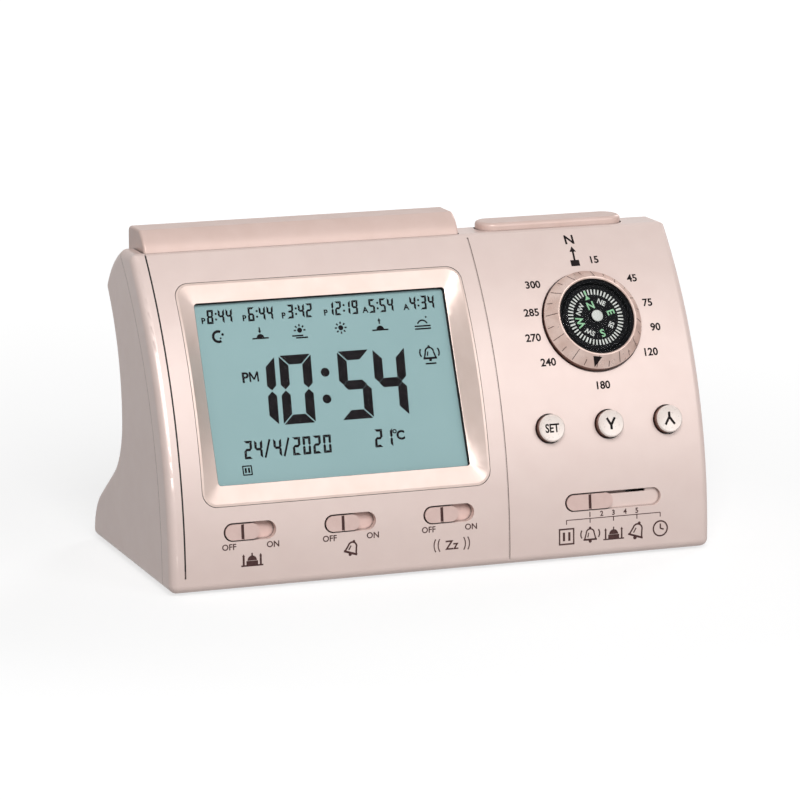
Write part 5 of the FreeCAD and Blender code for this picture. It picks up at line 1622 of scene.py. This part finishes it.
@dataclass
class Studio:
    """The floor, the sky, the lamps and the camera.

    Lengths are in metres, and the camera's lens and sensor in millimetres.
    """

    camera_place: Place = (-0.43962, -1.17170, 0.31345)
    right: Place = (0.9364103797, -0.3509015235, 0.0019291391)
    up: Place = (0.0720242899, 0.1975776314, 0.9776377556)
    ahead: Place = (0.3434357326, 0.9153311971, -0.2102871779)
    lens: float = 191.56
    sensor: float = 36.0
    farthest: float = 50.0
    floor_half: float = 4.0
    floor_grey: Colour = (0.36, 0.36, 0.36, 1)
    floor_glow: float = 0.72
    glow_span: Span = (0.15, 0.8)
    sky_light: float = 0.09
    lamps: tuple[Lamp, ...] = (
        Lamp("key_lamp", (-0.32, -1.1, 0.98), (0.6, 0.6), 14.0),
        Lamp("front_lamp", (0.58, -1.2, 0.75), (0.7, 1.0), 4.4),
        Lamp("back_lamp", (1.05, 0.75, 0.8), (0.5, 0.5), 5.0),
    )

    def build(self) -> None:
        """Set up the floor, the light and the camera."""
        self.floor()
        self.sky()
        for lamp in self.lamps:
            lamp.build()
        self.camera()

    def floor(self) -> None:
        """A wide pale floor that keeps the soft shadow of the clock."""
        mesh = bmesh.new()
        bmesh.ops.create_grid(mesh, x_segments=1, y_segments=1, size=self.floor_half)
        data = bpy.data.meshes.new("floor")
        mesh.to_mesh(data)
        mesh.free()
        floor = bpy.data.objects.new("floor", data)
        bpy.context.scene.collection.objects.link(floor)
        data.materials.append(self.floor_paint())

    def floor_paint(self) -> bpy.types.Material:
        """A matt grey that glows to the camera and in reflections, and glows more farther out.

        Returns:
            The material.
        """
        paint = Paint("floor_paint")
        paint.plain(Base_Color=self.floor_grey, Roughness=1.0, Specular_IOR_Level=0.0)
        away = paint.add("ShaderNodeVectorMath", "LENGTH")
        paint.join(paint.add("ShaderNodeTexCoord").outputs["Object"], away.inputs[0])
        paler = paint.ranged(away.outputs["Value"], self.glow_span, self.floor_glow, 1.0)
        seen = paint.seen_by("Is Camera Ray", "Is Glossy Ray")
        glow = paint.add("ShaderNodeEmission")
        paint.join(paint.combine("MULTIPLY", seen, paler), glow.inputs["Strength"])
        added = paint.add("ShaderNodeAddShader")
        paint.join(paint.shader.outputs["BSDF"], added.inputs[0])
        paint.join(glow.outputs["Emission"], added.inputs[1])
        paint.join(added.outputs["Shader"], paint.tree.nodes["Material Output"].inputs["Surface"])
        return paint.material

    def sky(self) -> None:
        """A dim surround that reads as white to the camera, in reflections and through clear covers."""
        world = bpy.data.worlds.new("studio")
        bpy.context.scene.world = world
        world.use_nodes = True
        nodes = Nodes(world.node_tree)
        back = nodes.tree.nodes["Background"]
        back.inputs["Color"].default_value = (1, 1, 1, 1)
        seen = nodes.seen_by("Is Camera Ray", "Is Glossy Ray", "Is Transmission Ray")
        nodes.join(nodes.ranged(seen, (0.0, 1.0), self.sky_light, 1.0), back.inputs["Strength"])

    def camera(self) -> None:
        """The camera that sees the clock from the left and a little above."""
        data = bpy.data.cameras.new("view")
        data.lens = self.lens
        data.sensor_width = self.sensor
        data.clip_end = self.farthest
        camera = bpy.data.objects.new("view", data)
        back = -Vector(self.ahead)
        turn = Matrix((self.right, self.up, back)).transposed().to_4x4()
        camera.matrix_world = Matrix.Translation(self.camera_place) @ turn
        bpy.context.scene.collection.objects.link(camera)
        bpy.context.scene.camera = camera


def clear_scene() -> None:
    """Remove whatever the empty start file holds."""
    for found in list(bpy.data.objects):
        bpy.data.objects.remove(found)


def corners(bounds: Sequence[Vector]) -> list[list[float]]:
    """Two corners as plain lists."""
    return [[float(value) for value in corner] for corner in bounds]


def main() -> None:
    """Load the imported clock, dress each sub-assembly and set the stage."""
    logging.basicConfig(level=logging.INFO, format="%(name)s: %(message)s")
    clear_scene()
    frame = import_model()
    casing = CasingDress()
    casing.finish_nodes(frame["nodes"])
    casing.groove_shade_strip()
    for part in (DisplayDress(), SwitchMarks(), ButtonMarks(), CompassDress(), KnobNotchShade()):
        LOG.info("building %s", type(part).__name__)
        part.build()
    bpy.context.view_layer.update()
    Studio().build()
    bpy.context.scene.view_settings.view_transform = "Standard"


if __name__ == "__main__":
    main()
